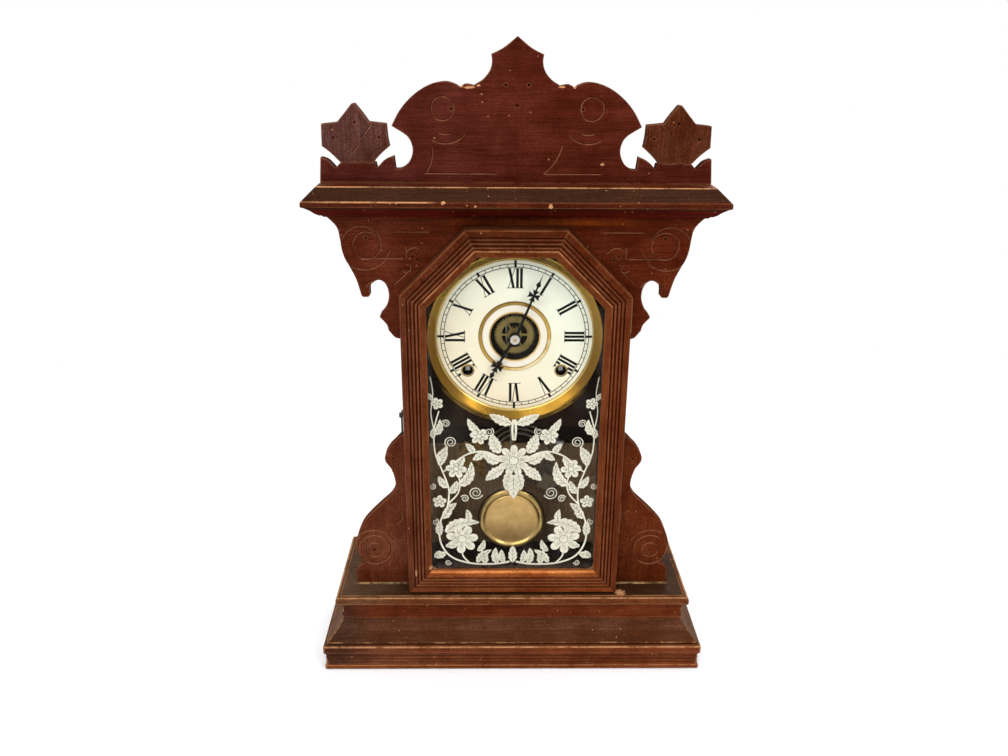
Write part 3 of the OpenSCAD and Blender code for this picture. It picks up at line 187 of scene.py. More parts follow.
def radiusFrom(tree, coords, centre):
    # distance from an axis that runs front to back, then how far to the right of it and above it
    x, y, z = splitAxes(tree, coords)
    across, above = minus(tree, x, centre[0]), minus(tree, z, centre[1])
    return hypotenuse(tree, across, above), across, above


studio = {
    "worldColour": (0.93, 0.95, 1.0),
    "worldLevel": 0.48,
    "lamps": [
        # name, place, aim, width, height, watts
        ("keyLamp", (-1.0, -1.5, 1.7), (0, 0, 0.28), 1.7, 1.4, 25.0),
        ("fillLamp", (1.1, -1.4, 1.45), (0, 0, 0.25), 0.6, 0.5, 9.5),
        ("topLamp", (0.1, -0.1, 2.0), (0, 0, 0), 1.6, 1.4, 21.5),
        ("backLamp", (0.5, 1.9, 1.3), (0, 0, 0.25), 1.4, 1.0, 14.0),
    ],
    "floorRadius": 7.0,
    "floorCorners": 96,
    "floorTones": ((0.855, 0.855, 0.855), (0.865, 0.865, 0.865)),
    "shadowReach": (0.35, 0.95),
}


def backgroundRays(tree):
    # 1 for rays that see the background: straight, or through or off the clock
    path = put(tree, "LightPath").outputs
    seen = larger(tree, path["Is Camera Ray"], path["Is Glossy Ray"])
    return larger(tree, seen, path["Is Transmission Ray"])


def lightWorld():
    world = bpy.data.worlds.new("studioWorld")
    bpy.context.scene.world = world
    world.use_nodes = True
    tree = world.node_tree
    light = tuple(studio["worldLevel"] * c for c in studio["worldColour"])
    feed(tree, tree.nodes["Background"].inputs["Color"],
         mixColour(tree, backgroundRays(tree), light, (1, 1, 1)))


def hangLamps():
    for name, place, aim, width, height, watts in studio["lamps"]:
        data = bpy.data.lights.new(name, "AREA")
        data.shape = "RECTANGLE"
        data.size, data.size_y, data.energy = width, height, watts
        lamp = bpy.data.objects.new(name, data)
        lamp.location = place
        lamp.rotation_euler = (Vector(aim) - Vector(place)).to_track_quat("-Z", "Y").to_euler()
        bpy.context.scene.collection.objects.link(lamp)


def layFloor():
    # pale paper that keeps the shadow near the clock and is white further out
    radius, count = studio["floorRadius"], studio["floorCorners"]
    angles = [2 * math.pi * i / count for i in range(count)]
    corners = [(radius * math.cos(a), radius * math.sin(a), 0) for a in angles]
    mesh = bpy.data.meshes.new("studioFloor")
    mesh.from_pydata(corners, [], [tuple(range(count))])
    mesh.update()
    floor = bpy.data.objects.new("studioFloor", mesh)
    bpy.context.scene.collection.objects.link(floor)
    material, tree, shader, coords = startMaterial("floorPaper")
    distance = put(tree, "VectorMath", {0: coords}, operation="LENGTH").outputs["Value"]
    far = remap(tree, distance, *studio["shadowReach"])
    rays = backgroundRays(tree)
    paper = mixColour(tree, clouds(tree, coords, 400), *studio["floorTones"])
    setSurface(tree, shader, mixColour(tree, rays, paper, (1, 1, 1)), 0.9, specular=0.0)
    glow = put(tree, "Emission", {"Color": (1, 1, 1), "Strength": 1.0}).outputs[0]
    both = put(tree, "MixShader", {0: times(tree, far, rays), 1: shader.outputs[0], 2: glow})
    feed(tree, tree.nodes["Material Output"].inputs[0], both.outputs[0])
    mesh.materials.append(material)


placeCamera()
lightWorld()
hangLamps()
layFloor()
bpy.context.scene.view_settings.view_transform = "Standard"
print("clock: camera, lamps and floor are in place")


def stain(red, green, blue):
    # a tone as it shows on screen, from 0 to 255, made linear
    shares = [c / 255 for c in (red, green, blue)]
    return tuple(c / 12.92 if c < 0.0405 else ((c + 0.055) / 1.055) ** 2.4 for c in shares)


def tinted(tone, red, green, blue):
    return tone[0] * red, tone[1] * green, tone[2] * blue


# sizes of the wood's features; pairs are along and across the grain
woodGrain = {
    "streak": (30.0, 1.1),
    "figure": (150.0, 13.0),
    "pore": (6.0, 0.45),
    "mottle": 28.0,
    "grit": 1.0,
    "patch": 13.0,
    "dustPatch": 18.0,
    "chipEdge": 2.5,
    "fleckCell": 5.5,
    "edgeRadius": 1.3,
    # reach of the grime and painted shade in corners
    "nearGrimeAndShade": 2.2,
    "farGrimeAndShade": 14.0,
    "arris": 0.6,
    "reliefDepth": 0.4,
}
# how much darker and paler the grain, the clouds of varnish and the grit make red, green and blue
woodContrast = {
    "grain": ((0.30, 0.34, 0.38), (0.26, 0.36, 0.46)),
    "cloud": ((0.20, 0.32, 0.44), (0.16, 0.26, 0.34)),
    "grit": ((0.34, 0.40, 0.47), (0.32, 0.42, 0.52)),
    "pore": (0.3, 0.22, 0.2),
    # a painted sheen that pales the boards towards the left, and the x where it starts and where it is
    # strongest
    "leftSheen": (1.0, 1.30, 1.9),
    "leftSheenFrom": (30, -150),  # x from which the boards grow paler, and where they are palest
}
# spans of noise, openness or slope over which an effect grows, and how strong it is
woodFinish = {
    "figureShare": 0.35,
    "poreSpan": (0.58, 0.70),
    "poreShare": 0.45,
    "lineWear": (0.40, 0.54, 0.25),
    "thinEdge": (0.90, 0.58),
    "nearSpan": (0.80, 0.40),
    "farSpan": (0.62, 0.15),
    "farShare": 0.55,
    "dustSlope": (0.2, 0.9),
    "dustPatches": (0.3, 0.62, 0.35),
    "glossSpread": (-0.08, 0.12),
    "bareDull": 0.25,
    "sawnDull": 0.5,
    "shine": 0.06,
    "shineTint": (1.0, 0.55, 0.35),
    "relief": 0.35,
}
grainAxes = {"x": (0, 1, 1), "y": (1, 0, 1), "z": (1, 1, 0)}
bareWood = stain(190, 136, 92)
rubbedDoor = stain(172, 108, 70)
rubbedCarving = stain(132, 80, 54)
# painted highlight on the carved walls that face the light
carvedHighlight = stain(164, 106, 76)
# dark of grime, also used for painted shade in corners and on the shaded walls of the carved lines
grimeAndShadeTone = stain(50, 13, 5)
dustTone = stain(74, 52, 30)
# painted shade inside the case
insideShadeTone = stain(30, 17, 11)
stainLevel = (0.84, 0.78, 0.84)

# outlines of the moulded frames, as they are in the solids; the door's head is stretched in height
mouldings = {
    "door": {"half": 96.5, "foot": 72.5, "head": 413.0, "cut": 55.0, "stretch": 23.6 / 21.5},
    "cornice": {"half": 172.0, "front": -45.0},
    "base": {"half": 176.3, "front": -62.5},
}
# bands of another tone that keep to one part of a board: the axis they are measured on, their limits on
# other axes with the softness of each, and how patchy they are
placedBands = {
    "backFront": {"axis": "z", "limits": [("y", 40.0, 50.65, 0.05)]},
    "overDoor": {"axis": "z", "limits": [("x", -50.0, 90.0, 22.0)], "patches": (0.38, 0.56, 0.35)},
    "baseTop": {"axis": "y", "limits": [("z", 70.65, 75.0, 0.05), ("x", -146.0, 146.0, 2.5)],
                "patches": (0.40, 0.54, 0.1)},
}
bandEdge = {"x": 14.0}  # softness of a band's ends, and 0.35 for the other axes
# inside of the case, where the wood is darkened as painted shade: lowest and highest corner
caseInside = ((-85.3, -23.2, 70), (85.3, 50.2, 420.6))


def insetFrom(tree, xyz, kind):
    # distance in from a moulding's outline, measured on its section
    x, y, z = xyz
    plan = mouldings[kind]
    side = calc(tree, "ABSOLUTE", x)
    inset = minus(tree, plan["half"], side)
    if kind != "door":
        return smaller(tree, inset, minus(tree, y, plan["front"]))
    corner = plan["half"] + plan["head"] - plan["cut"]
    head = calc(tree, "DIVIDE", minus(tree, plan["head"], z), plan["stretch"])
    slant = calc(tree, "DIVIDE", minus(tree, corner, plus(tree, side, z)), plan["stretch"] * math.sqrt(2))
    for other in (minus(tree, z, plan["foot"]), head, slant):
        inset = smaller(tree, inset, other)
    return inset


def leaningGrain(tree, xyz, tilt):
    # the grain follows the corner rails, which lean away on both sides
    x, y, z = xyz
    folded = put(tree, "CombineXYZ", {0: times(tree, calc(tree, "ABSOLUTE", x), mm), 1: times(tree, y, mm),
                                      2: times(tree, z, mm)}).outputs[0]
    plugs = {"Vector": folded, "Angle": math.radians(tilt)}
    return put(tree, "VectorRotate", plugs, rotation_type="Y_AXIS").outputs[0]


def grainNoise(tree, along, axis, feature, detail, rough, shift, distortion=0.0):
    length, width = woodGrain[feature]
    size = tuple(width if across else length for across in grainAxes[axis])
    return clouds(tree, along, size, detail, rough, shift, distortion)


def bandMask(tree, place, low, high, measures, patchy):
    plan = placedBands.get(place, {"axis": place})
    mask = between(tree, measures[plan["axis"]], low, high, bandEdge.get(place, 0.35))
    for axis, least, most, soft in plan.get("limits", ()):
        mask = times(tree, mask, between(tree, measures[axis], least, most, soft))
    if "patches" in plan:
        mask = times(tree, mask, remap(tree, patchy, *plan["patches"], 1.0))
    return mask


def varied(tree, colour, noise, spread, kind, amount=1.0):
    # noise from 0.5 - spread to 0.5 + spread darkens and lightens the colour
    dark, pale = woodContrast[kind]
    tone = mixColour(tree, remap(tree, noise, 0.5 - spread, 0.5 + spread),
                     tuple(1 - amount * k for k in dark), tuple(1 + amount * k for k in pale))
    return mixColour(tree, 1.0, colour, tone, "MULTIPLY")


def rubbedLines(tree, xyz, inset, lines, patchy):
    # arrises of a moulding, rubbed paler in patches
    rub = 0.0
    for at, reach, share, *place in lines:
        off = gap(tree, inset, at)
        if place:
            off = hypotenuse(tree, off, minus(tree, xyz[2], place[0]))
        line = remap(tree, off, reach, reach * 0.3, 0.0, share)
        if place[1:]:
            line = times(tree, line, remap(tree, xyz[0], *place[1:]))
        rub = larger(tree, rub, line)
    if lines:
        rub = times(tree, rub, remap(tree, patchy, *woodFinish["lineWear"], 1.0), clamp=True)
    return rub


def rubbedEdges(tree, patchy, worn):
    # handled edges, found as places where the wood is thin
    thin = openness(tree, woodGrain["edgeRadius"], inside=True, only_local=True)
    thin = remap(tree, thin, *woodFinish["thinEdge"])
    thin = times(tree, thin, remap(tree, patchy, 0.58 - 0.2 * worn, 0.70 - 0.2 * worn), clamp=True)
    return times(tree, thin, worn)


def shadeCarvedWalls(tree, colour, upward, level, sideways, patchy):
    # walls of the carved lines: a painted highlight where they face up and to the left, painted shade on the
    # other side
    wall = between(tree, level, 0.42, 0.93, 0.03)
    lit = remap(tree, minus(tree, upward, sideways), -0.15, 0.30)
    lit = times(tree, lit, remap(tree, patchy, 0.36, 0.52, 0.35, 1.0))
    return mixColour(tree, times(tree, wall, 0.5), colour, mixColour(tree, lit, grimeAndShadeTone, carvedHighlight))


def fleckMask(tree, coords, flecks):
    # small round flecks, some fainter than others, in one cell in two where flecks is 1
    plugs = {"Vector": coords, "Scale": 1 / (woodGrain["fleckCell"] * mm), "Randomness": 1.0}
    cell = put(tree, "TexVoronoi", plugs).outputs
    chosen = put(tree, "SeparateColor", {0: cell["Color"]}).outputs
    radius = remap(tree, chosen[1], 0.0, 1.0, 0.05, 0.14)
    dot = remap(tree, minus(tree, radius, cell["Distance"]), 0.0, 0.03)
    dot = times(tree, dot, remap(tree, chosen[0], 1.0 - 0.5 * flecks, 1.01 - 0.5 * flecks))
    return times(tree, dot, remap(tree, chosen[2], 0.0, 1.0, 0.25, 0.9), clamp=True)


def chipMask(tree, coords, xyz, chip):
    # a ragged chip at x, z, of the given half width and half height, and at y where that is given
    x, z, wide, tall, *depth = chip
    away = 0.0
    for value, at, span in [(xyz[0], x, wide), (xyz[2], z, tall)] + [(xyz[1], y, wide) for y in depth]:
        off = calc(tree, "DIVIDE", minus(tree, value, at), span)
        away = plus(tree, away, times(tree, off, off))
    ragged = remap(tree, clouds(tree, coords, woodGrain["chipEdge"], 3, 0.7, x), 0.3, 0.7, -0.45, 0.45)
    return remap(tree, plus(tree, calc(tree, "SQRT", away), ragged), 1.1, 0.8)


def insideCase(tree, xyz):
    mask = 1.0
    for value, low, high in zip(xyz, *caseInside):
        mask = times(tree, mask, between(tree, value, low, high, 0.01))
    return mask


def makeWood(name, axis, base, worn=0.5, dust=0.3, gloss=0.42, tilt=0.0, contrast=1.2, cloudy=1.0,
             flecks=0.5, cornerGrimeAndShade=0.7, moulding=None, bands=(), lines=(), chips=(), leftSheen=1.0, insideShade=0.0,
             rubbed=bareWood, carved=False):
    # worn is for the rubbed edges; the corner darkening is grime and painted shade, and what lies inside the
    # case is darkened as painted shade
    material, tree, shader, coords = startMaterial(name)
    xyz = splitAxes(tree, coords)
    along = leaningGrain(tree, xyz, tilt) if tilt else coords
    shift = (sum(ord(letter) for letter in name) % 97) * 0.013
    streak = grainNoise(tree, along, axis, "streak", 5, 0.7, shift)
    figure = grainNoise(tree, along, axis, "figure", 3, 0.55, shift, 0.6)
    pores = remap(tree, grainNoise(tree, along, axis, "pore", 2, 0.6, shift), *woodFinish["poreSpan"])
    mottle = clouds(tree, coords, woodGrain["mottle"], 5, 0.65, shift)
    grit = clouds(tree, coords, woodGrain["grit"], 2, 0.6, shift)
    patchy = clouds(tree, coords, woodGrain["patch"], 5, 0.75, shift + 3)
    inset = insetFrom(tree, xyz, moulding) if moulding else None

    # tone of the board, with a painted sheen that pales it towards the left, and of its bands
    base = tinted(base, *stainLevel)
    sheen = remap(tree, xyz[0], *woodContrast["leftSheenFrom"], 0.0, leftSheen)
    colour = mixColour(tree, sheen, base, tinted(base, *woodContrast["leftSheen"]))
    measures = dict(zip("xyz", xyz), inset=inset)
    for place, low, high, tone, share in bands:
        within = bandMask(tree, place, low, high, measures, patchy)
        colour = mixColour(tree, times(tree, within, share), colour, tone)

    # grain, cloudy varnish, grit and open pores
    share = woodFinish["figureShare"]
    grain = plus(tree, times(tree, streak, 1 - share), times(tree, figure, share))
    colour = varied(tree, colour, grain, 0.12, "grain", contrast)
    colour = varied(tree, colour, mottle, 0.12, "cloud", cloudy)
    colour = varied(tree, colour, grit, 0.14, "grit")
    pored = times(tree, pores, woodFinish["poreShare"])
    colour = mixColour(tree, pored, colour, tinted(base, *woodContrast["pore"]))

    # grime and painted shade in corners, dust on what looks up, rubbed edges
    near = remap(tree, openness(tree, woodGrain["nearGrimeAndShade"]), *woodFinish["nearSpan"], 0.0, cornerGrimeAndShade)
    far = openness(tree, woodGrain["farGrimeAndShade"])
    far = remap(tree, far, *woodFinish["farSpan"], 0.0, woodFinish["farShare"])
    colour = mixColour(tree, larger(tree, near, far), colour, grimeAndShadeTone)
    facing = put(tree, "SeparateXYZ", {0: put(tree, "NewGeometry").outputs["Normal"]}).outputs
    upward, level = facing["Z"], calc(tree, "ABSOLUTE", facing["Y"])
    lying = clouds(tree, coords, woodGrain["dustPatch"], 5, 0.7, shift + 5)
    lying = remap(tree, lying, *woodFinish["dustPatches"], 1.0)
    dusty = times(tree, remap(tree, upward, *woodFinish["dustSlope"]), lying, clamp=True)
    dusty = times(tree, dusty, dust, clamp=True)
    colour = mixColour(tree, dusty, colour, dustTone)
    rub = larger(tree, rubbedLines(tree, xyz, inset, lines, patchy), rubbedEdges(tree, patchy, worn),
                 clamp=True)
    colour = mixColour(tree, rub, colour, rubbed)
    if carved:
        colour = shadeCarvedWalls(tree, colour, upward, level, facing["X"], patchy)

    # flecks and chips show bare wood
    dot = fleckMask(tree, coords, flecks)
    for chip in chips:
        dot = larger(tree, dot, chipMask(tree, coords, xyz, chip))
    colour = mixColour(tree, dot, colour, bareWood)
    # painted shade over what lies inside the case
    if insideShade:
        colour = mixColour(tree, times(tree, insideCase(tree, xyz), insideShade), colour, insideShadeTone)

    # bare wood is duller, and sawn edges and undersides were never polished
    bare = plus(tree, dusty, plus(tree, rub, dot))
    glossy, dull = woodFinish["glossSpread"]
    rough = remap(tree, mottle, 0.3, 0.7, gloss + glossy, gloss + dull)
    rough = plus(tree, rough, times(tree, bare, woodFinish["bareDull"]))
    sawn = remap(tree, level, 0.35, 0.2) if carved else 0.0
    dry = larger(tree, remap(tree, upward, -0.25, -0.5), sawn)
    rough = plus(tree, rough, times(tree, dry, woodFinish["sawnDull"]), clamp=True)
    setSurface(tree, shader, colour, rough, specular=woodFinish["shine"])
    feed(tree, shader.inputs["Specular Tint"], woodFinish["shineTint"])
    height = minus(tree, times(tree, streak, 0.5), times(tree, pores, 0.6))
    height = minus(tree, plus(tree, height, times(tree, grit, 0.4)), dot)
    addBump(tree, shader, height, woodFinish["relief"], woodGrain["reliefDepth"], woodGrain["arris"])
    return material


def dress(material, *names):
    for name in names:
        cad[name].data.materials.clear()
        cad[name].data.materials.append(material)


# rubbed lines: distance in, reach, share, then a height, and the x from which it grows to full
outerLine, innerLine = (0.6, 0.7, 0.30), (16.2, 1.1, 1.0)
ridgeLines = [(7.5, 0.7, 0.20), (10.5, 0.8, 0.26), (13.6, 0.8, 0.34), (21.3, 0.5, 0.30)]
stileLines = [(5.0, 0.5, 0.12), (0.6, 0.7, 0.16), (16.3, 0.7, 0.32)] + ridgeLines
corniceLines = [(11.3, 1.3, 1.0, 445.5), (0.4, 1.0, 0.95, 434.9, -64, -72), (0.4, 0.9, 0.08, 434.9),
                (0.0, 0.7, 0.20, 430.6)]
baseLines = [(0.0, 1.1, 1.0, 25.4), (0.4, 0.7, 0.35, 19.4), (0.8, 0.8, 0.5, 4.5), (0.9, 0.8, 0.4, 1.4),
             (3.4, 0.8, 0.25, 28.0), (17.0, 0.7, 0.10, 47.0)]
topLines = [(16.3, 0.9, 0.45, 71.0), (13.4, 1.0, 1.0, 70.2), (12.0, 0.8, 0.30, 64.4)]
railLines = [outerLine, innerLine] + ridgeLines
carving = {"carved": True, "cornerGrimeAndShade": 0.5, "rubbed": rubbedCarving}
door = {"moulding": "door", "cornerGrimeAndShade": 0.65, "rubbed": rubbedDoor,
        "bands": [("inset", 16.8, 21.5, stain(108, 52, 23), 0.8)]}
cornice = {"moulding": "cornice", "lines": corniceLines}
walnut = {
    # node: grain, tone, wear, dust, gloss, then what is special to it
    "crest_board": ("x", stain(86, 32, 18), 0.9, 0.3, 0.44, {
        **carving, "cornerGrimeAndShade": 0.45,
        "chips": [(-38.5, 520.6, 4.5, 1.1), (-44.5, 521.5, 1.6, 1.2), (-31.0, 522.0, 1.8, 0.9),
                  (35.5, 521.2, 3.2, 0.9), (45.6, 521.0, 1.6, 1.0), (70.3, 461.0, 1.5, 1.2),
                  (-13.5, 550.5, 0.8, 0.8)]}),
    "finial_left": ("z", stain(92, 56, 46), 0.9, 0.4, 0.6, {**carving, "leftSheen": 0.0}),
    "finial_right": ("z", stain(88, 43, 22), 0.9, 0.4, 0.5, carving),
    "head_board": ("x", stain(92, 34, 13), 0.8, 0.3, 0.42, {
        **carving, "bands": [("overDoor", 413.2, 419.6, stain(156, 70, 20), 0.6)]}),
    "wing_left": ("z", stain(108, 56, 33), 0.9, 0.5, 0.42, {
        **carving, "leftSheen": 0.0, "insideShade": 0.85,
        "bands": [("z", 70.9, 84.0, stain(90, 40, 20), 0.5), ("z", 300.0, 366.0, stain(74, 46, 34), 0.45)]}),
    "wing_right": ("z", stain(104, 46, 17), 0.9, 0.5, 0.4, {
        **carving, "insideShade": 0.85,
        "bands": [("z", 70.9, 100.0, stain(78, 30, 10), 0.6), ("z", 340.0, 422.0, stain(82, 27, 8), 0.6)]}),
    "cornice_front": ("x", stain(76, 28, 10), 0.15, 0.0, 0.42, {
        **cornice, "flecks": 1.1,
        # the band from z 420 to 428.5 is painted shade under the cornice
        "bands": [("inset", 1.2, 11.2, stain(46, 22, 8), 0.95), ("z", 420.0, 428.5, stain(78, 11, 5), 0.75)],
        "chips": [(26.7, 432.3, 1.7, 1.9), (-33.0, 432.0, 1.2, 0.7), (-58.6, 434.6, 2.0, 1.2)]}),
    "cornice_returns": ("y", stain(84, 36, 18), 0.4, 0.4, 0.5, {
        **cornice, "bands": [("inset", 1.2, 11.2, stain(46, 22, 8), 0.9)]}),
    "cornice_core": ("x", stain(86, 36, 16), 0.4, 0.4, 0.6, {}),
    "door_stile_left": ("z", stain(98, 44, 20), 0.3, 0.4, 0.4, {
        **door, "lines": stileLines, "chips": [(-89.5, 93.5, 0.9, 3.4), (-76.0, 97.0, 1.4, 2.2)]}),
    "door_stile_right": ("z", stain(102, 46, 19), 0.3, 0.4, 0.38, {**door, "lines": stileLines}),
    "door_bottom_rail": ("x", stain(122, 58, 24), 0.4, 0.4, 0.38, {
        **door, "lines": [outerLine] + ridgeLines,
        "bands": [("inset", 19.2, 21.3, stain(224, 132, 68), 0.95),
                  ("inset", 16.8, 19.2, stain(138, 68, 28), 0.9)]}),
    "door_top_rail": ("x", stain(80, 31, 9), 0.4, 0.3, 0.42, {**door, "lines": railLines}),
    "door_corner_rails": ("x", stain(92, 39, 15), 0.4, 0.3, 0.42, {**door, "tilt": 45, "lines": railLines}),
    "base_front": ("x", stain(118, 57, 26), 0.5, 0.3, 0.38, {
        "moulding": "base", "lines": baseLines, "flecks": 1.2,
        "bands": [("z", 46.5, 63.2, stain(96, 39, 15), 0.9), ("z", 36.0, 46.5, stain(80, 44, 28), 0.9),
                  ("z", 27.0, 36.5, stain(68, 33, 16), 0.9), ("x", -200, -142, stain(52, 33, 25), 0.7),
                  ("z", 0.0, 5.4, stain(122, 56, 23), 0.9)]}),
    "base_returns": ("y", stain(116, 80, 56), 0.5, 0.5, 0.55, {
        "moulding": "base", "lines": baseLines, "leftSheen": 0.0}),
    # its dark tone, darker than the other walnut, is painted shadow of the wings and door
    "base_top_board": ("x", stain(50, 22, 12), 0.6, 0.4, 0.5, {
        "moulding": "base", "lines": topLines, "cornerGrimeAndShade": 0.35, "leftSheen": 0.4, "insideShade": 0.85,
        "bands": [("inset", 11.5, 16.3, stain(104, 53, 27), 0.95),
                  ("x", -200, -112, stain(112, 84, 60), 0.35),
                  ("baseTop", -27.0, -23.0, stain(226, 182, 124), 0.7)],
        "chips": [(100.5, 71.0, 4.6, 3.0, -41.0)]}),
    "case_sides": ("z", stain(84, 38, 20), 0.4, 0.5, 0.45, {"flecks": 0.2, "insideShade": 0.85}),
}
# the inside of the back has painted light at the foot and a painted shadow of the dial board above the gong
backLightAndShade = [("backFront", 60.0, 183.0, stain(158, 126, 92), 1.0),
             ("backFront", 183.0, 420.0, stain(16, 9, 6), 0.96)]
softwoods = {
    # node: grain, tone, then what is special to it
    "glue_blocks": ("z", stain(140, 108, 78), {"insideShade": 0.75}),
    "case_top": ("x", stain(116, 82, 56), {"insideShade": 0.75}),
    "case_back": ("z", stain(128, 92, 62), {"cornerGrimeAndShade": 0.3, "bands": backLightAndShade}),
    # the dial board's near-black tone is painted shade behind the dial
    "dial_board": ("z", stain(26, 18, 12), {"insideShade": 0.75}),
    "glass_beads": ("z", stain(60, 30, 18), {"insideShade": 0.75}),
}
rawBoard = {"worn": 0.3, "dust": 0.3, "gloss": 0.7, "contrast": 0.9, "cloudy": 0.4, "leftSheen": 0.0}
for name, (axis, base, worn, dust, gloss, special) in walnut.items():
    dress(makeWood("walnut_" + name, axis, base, worn, dust, gloss, **special), name)
for name, (axis, base, special) in softwoods.items():
    dress(makeWood("board_" + name, axis, base, **rawBoard, **special), name)
print("clock: wood is stained")


metals = {
    # finish: colour, tarnish, how much, roughness, metallic
    "oldBrass": ((0.46, 0.30, 0.09), (0.13, 0.095, 0.03), 0.55, 0.34, 1.0),
    "plateBrass": ((0.50, 0.36, 0.15), (0.17, 0.13, 0.06), 0.5, 0.42, 1.0),
    "steel": ((0.36, 0.35, 0.33), (0.12, 0.10, 0.08), 0.45, 0.38, 1.0),
    "darkWire": ((0.045, 0.042, 0.040), (0.10, 0.065, 0.04), 0.3, 0.45, 1.0),
    "nickel": ((0.66, 0.64, 0.58), (0.30, 0.27, 0.20), 0.3, 0.22, 1.0),
    "blackPaint": ((0.004, 0.004, 0.004), (0.014, 0.012, 0.010), 0.3, 0.42, 0.0),
    # near-black brass for the front plate and minute wheel is painted shade behind the dial
    "darkBrass": ((0.012, 0.009, 0.005), (0.006, 0.005, 0.003), 0.6, 0.55, 1.0),
    "oliveBrass": ((0.22, 0.165, 0.055), (0.12, 0.09, 0.03), 0.5, 0.45, 1.0),
    "castIron": ((0.27, 0.22, 0.14), (0.36, 0.31, 0.22), 0.6, 0.7, 0.0),
    "rust": ((0.060, 0.036, 0.024), (0.13, 0.060, 0.028), 0.6, 0.65, 0.0),
    "gongWire": ((0.20, 0.165, 0.12), (0.10, 0.075, 0.05), 0.4, 0.5, 1.0),
}
metalNodes = {
    "plateBrass": ["plate_back", "time_great_wheel", "time_second_wheel", "centre_wheel", "third_wheel",
                   "escape_wheel", "strike_great_wheel", "strike_second_wheel", "strike_cam_wheel",
                   "strike_warning_wheel", "fly"],
    "oldBrass": ["hinge_case_leaves", "hinge_door_leaves"],
    "darkBrass": ["plate_front", "minute_wheel"],
    "oliveBrass": ["hour_wheel"],
    "steel": ["plate_pillars", "movement_feet", "mainsprings", "time_winding_arbor", "strike_winding_arbor",
              "verge", "pendulum_rod", "hammer"],
    "darkWire": ["door_hook", "hook_screw", "hook_pin", "hinge_pins"],
    "gongWire": ["gong_coil"],
    "nickel": ["hand_nut"],
    "blackPaint": ["hour_hand", "minute_hand"],
    "castIron": ["gong_base"],
}


def makeMetal(name, colour, tarnish, amount, rough, metallic):
    material, tree, shader, coords = startMaterial(name)
    film = remap(tree, clouds(tree, coords, 12, 5, 0.65), 0.66 - 0.3 * amount, 0.82 - 0.3 * amount)
    dark = larger(tree, times(tree, film, 0.75), remap(tree, openness(tree, 4.0), 0.75, 0.3), clamp=True)
    fine = clouds(tree, coords, 0.9, 3, 0.6)
    shade = mixColour(tree, remap(tree, fine, 0.3, 0.7, 0.0, 0.22), mixColour(tree, dark, colour, tarnish),
                      tinted(colour, 0.6, 0.6, 0.6))
    rough = plus(tree, remap(tree, fine, 0.3, 0.7, rough - 0.05, rough + 0.1), times(tree, dark, 0.25),
                 clamp=True)
    setSurface(tree, shader, shade, rough, specular=None if metallic else 0.08, metallic=metallic)
    addBump(tree, shader, fine, 0.15, 0.08, 0.3)
    return material


finish = {name: makeMetal(name, *values) for name, values in metals.items()}
for name, nodes in metalNodes.items():
    dress(finish[name], *nodes)
print("clock: metals are finished")


def addPlate(bm, outline, front, back):
    # a flat piece whose outline is given as x, z
    near = [bm.verts.new((x * mm, front * mm, z * mm)) for x, z in outline]
    far = [bm.verts.new((x * mm, back * mm, z * mm)) for x, z in outline]
    bm.faces.new(near)
    bm.faces.new(far[::-1])
    joinRings(bm, [near, far], closed=False)


def ringAt(bm, centre, radius, depth, count):
    # points round an axis that runs front to back through centre, given as x, z
    points = []
    for i in range(count):
        a = 2 * math.pi * i / count
        x, z = centre[0] + radius * math.cos(a), centre[1] + radius * math.sin(a)
        points.append(bm.verts.new((x * mm, depth * mm, z * mm)))
    return points


def joinRings(bm, rings, closed=True):
    # faces from each ring to the next; closed joins the last ring to the first
    for a, b in zip(rings, rings[1:] + (rings[:1] if closed else [])):
        for i in range(len(a)):
            k = (i + 1) % len(a)
            bm.faces.new((a[i], b[i], b[k], a[k]))


def meshFrom(bm, name, material, body, smooth=False):
    bmesh.ops.recalc_face_normals(bm, faces=bm.faces[:])
    bmesh.ops.triangulate(bm, faces=[face for face in bm.faces if len(face.verts) > 4])
    for face in bm.faces:
        face.smooth = smooth and len(face.verts) == 4
    mesh = bpy.data.meshes.new(name)
    bm.to_mesh(mesh)
    bm.free()
    obj = bpy.data.objects.new(name, mesh)
    bpy.context.scene.collection.objects.link(obj)
    mesh.materials.append(material)
    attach(obj, body)


dial = {
    "centre": (0.0, 315.4),
    "face": -18.0,
    "printDepth": 0.03,
    "holes": ((-41.0, 284.1), (41.0, 284.1)),
    "holeClear": 6.1,
}
minuteTrack = {"inner": 61.3, "outer": 64.2, "line": 0.62, "tick": 0.55, "hourTick": 2.1, "hourEnd": 65.0,
               "quarterEnd": 67.2, "ringLift": 0.01, "tickLift": 0.02, "corners": 180}
numeralStyle = {"foot": 43.3, "top": 60.2, "thick": 2.3, "thin": 0.62, "footSerif": 0.55, "topSerif": 0.5,
                "topReach": 0.45, "gap": 1.0, "wide": 5.9, "overhang": 1.0}
numerals = ["XII", "I", "II", "III", "IIII", "V", "VI", "VII", "VIII", "IX", "X", "XI"]


def dialPoint(angle, across, out):
    # across to the right of a line that points out from the centre at this angle
    a = math.radians(angle)
    x = across * math.cos(a) + out * math.sin(a)
    z = out * math.cos(a) - across * math.sin(a)
    return dial["centre"][0] + x, dial["centre"][1] + z


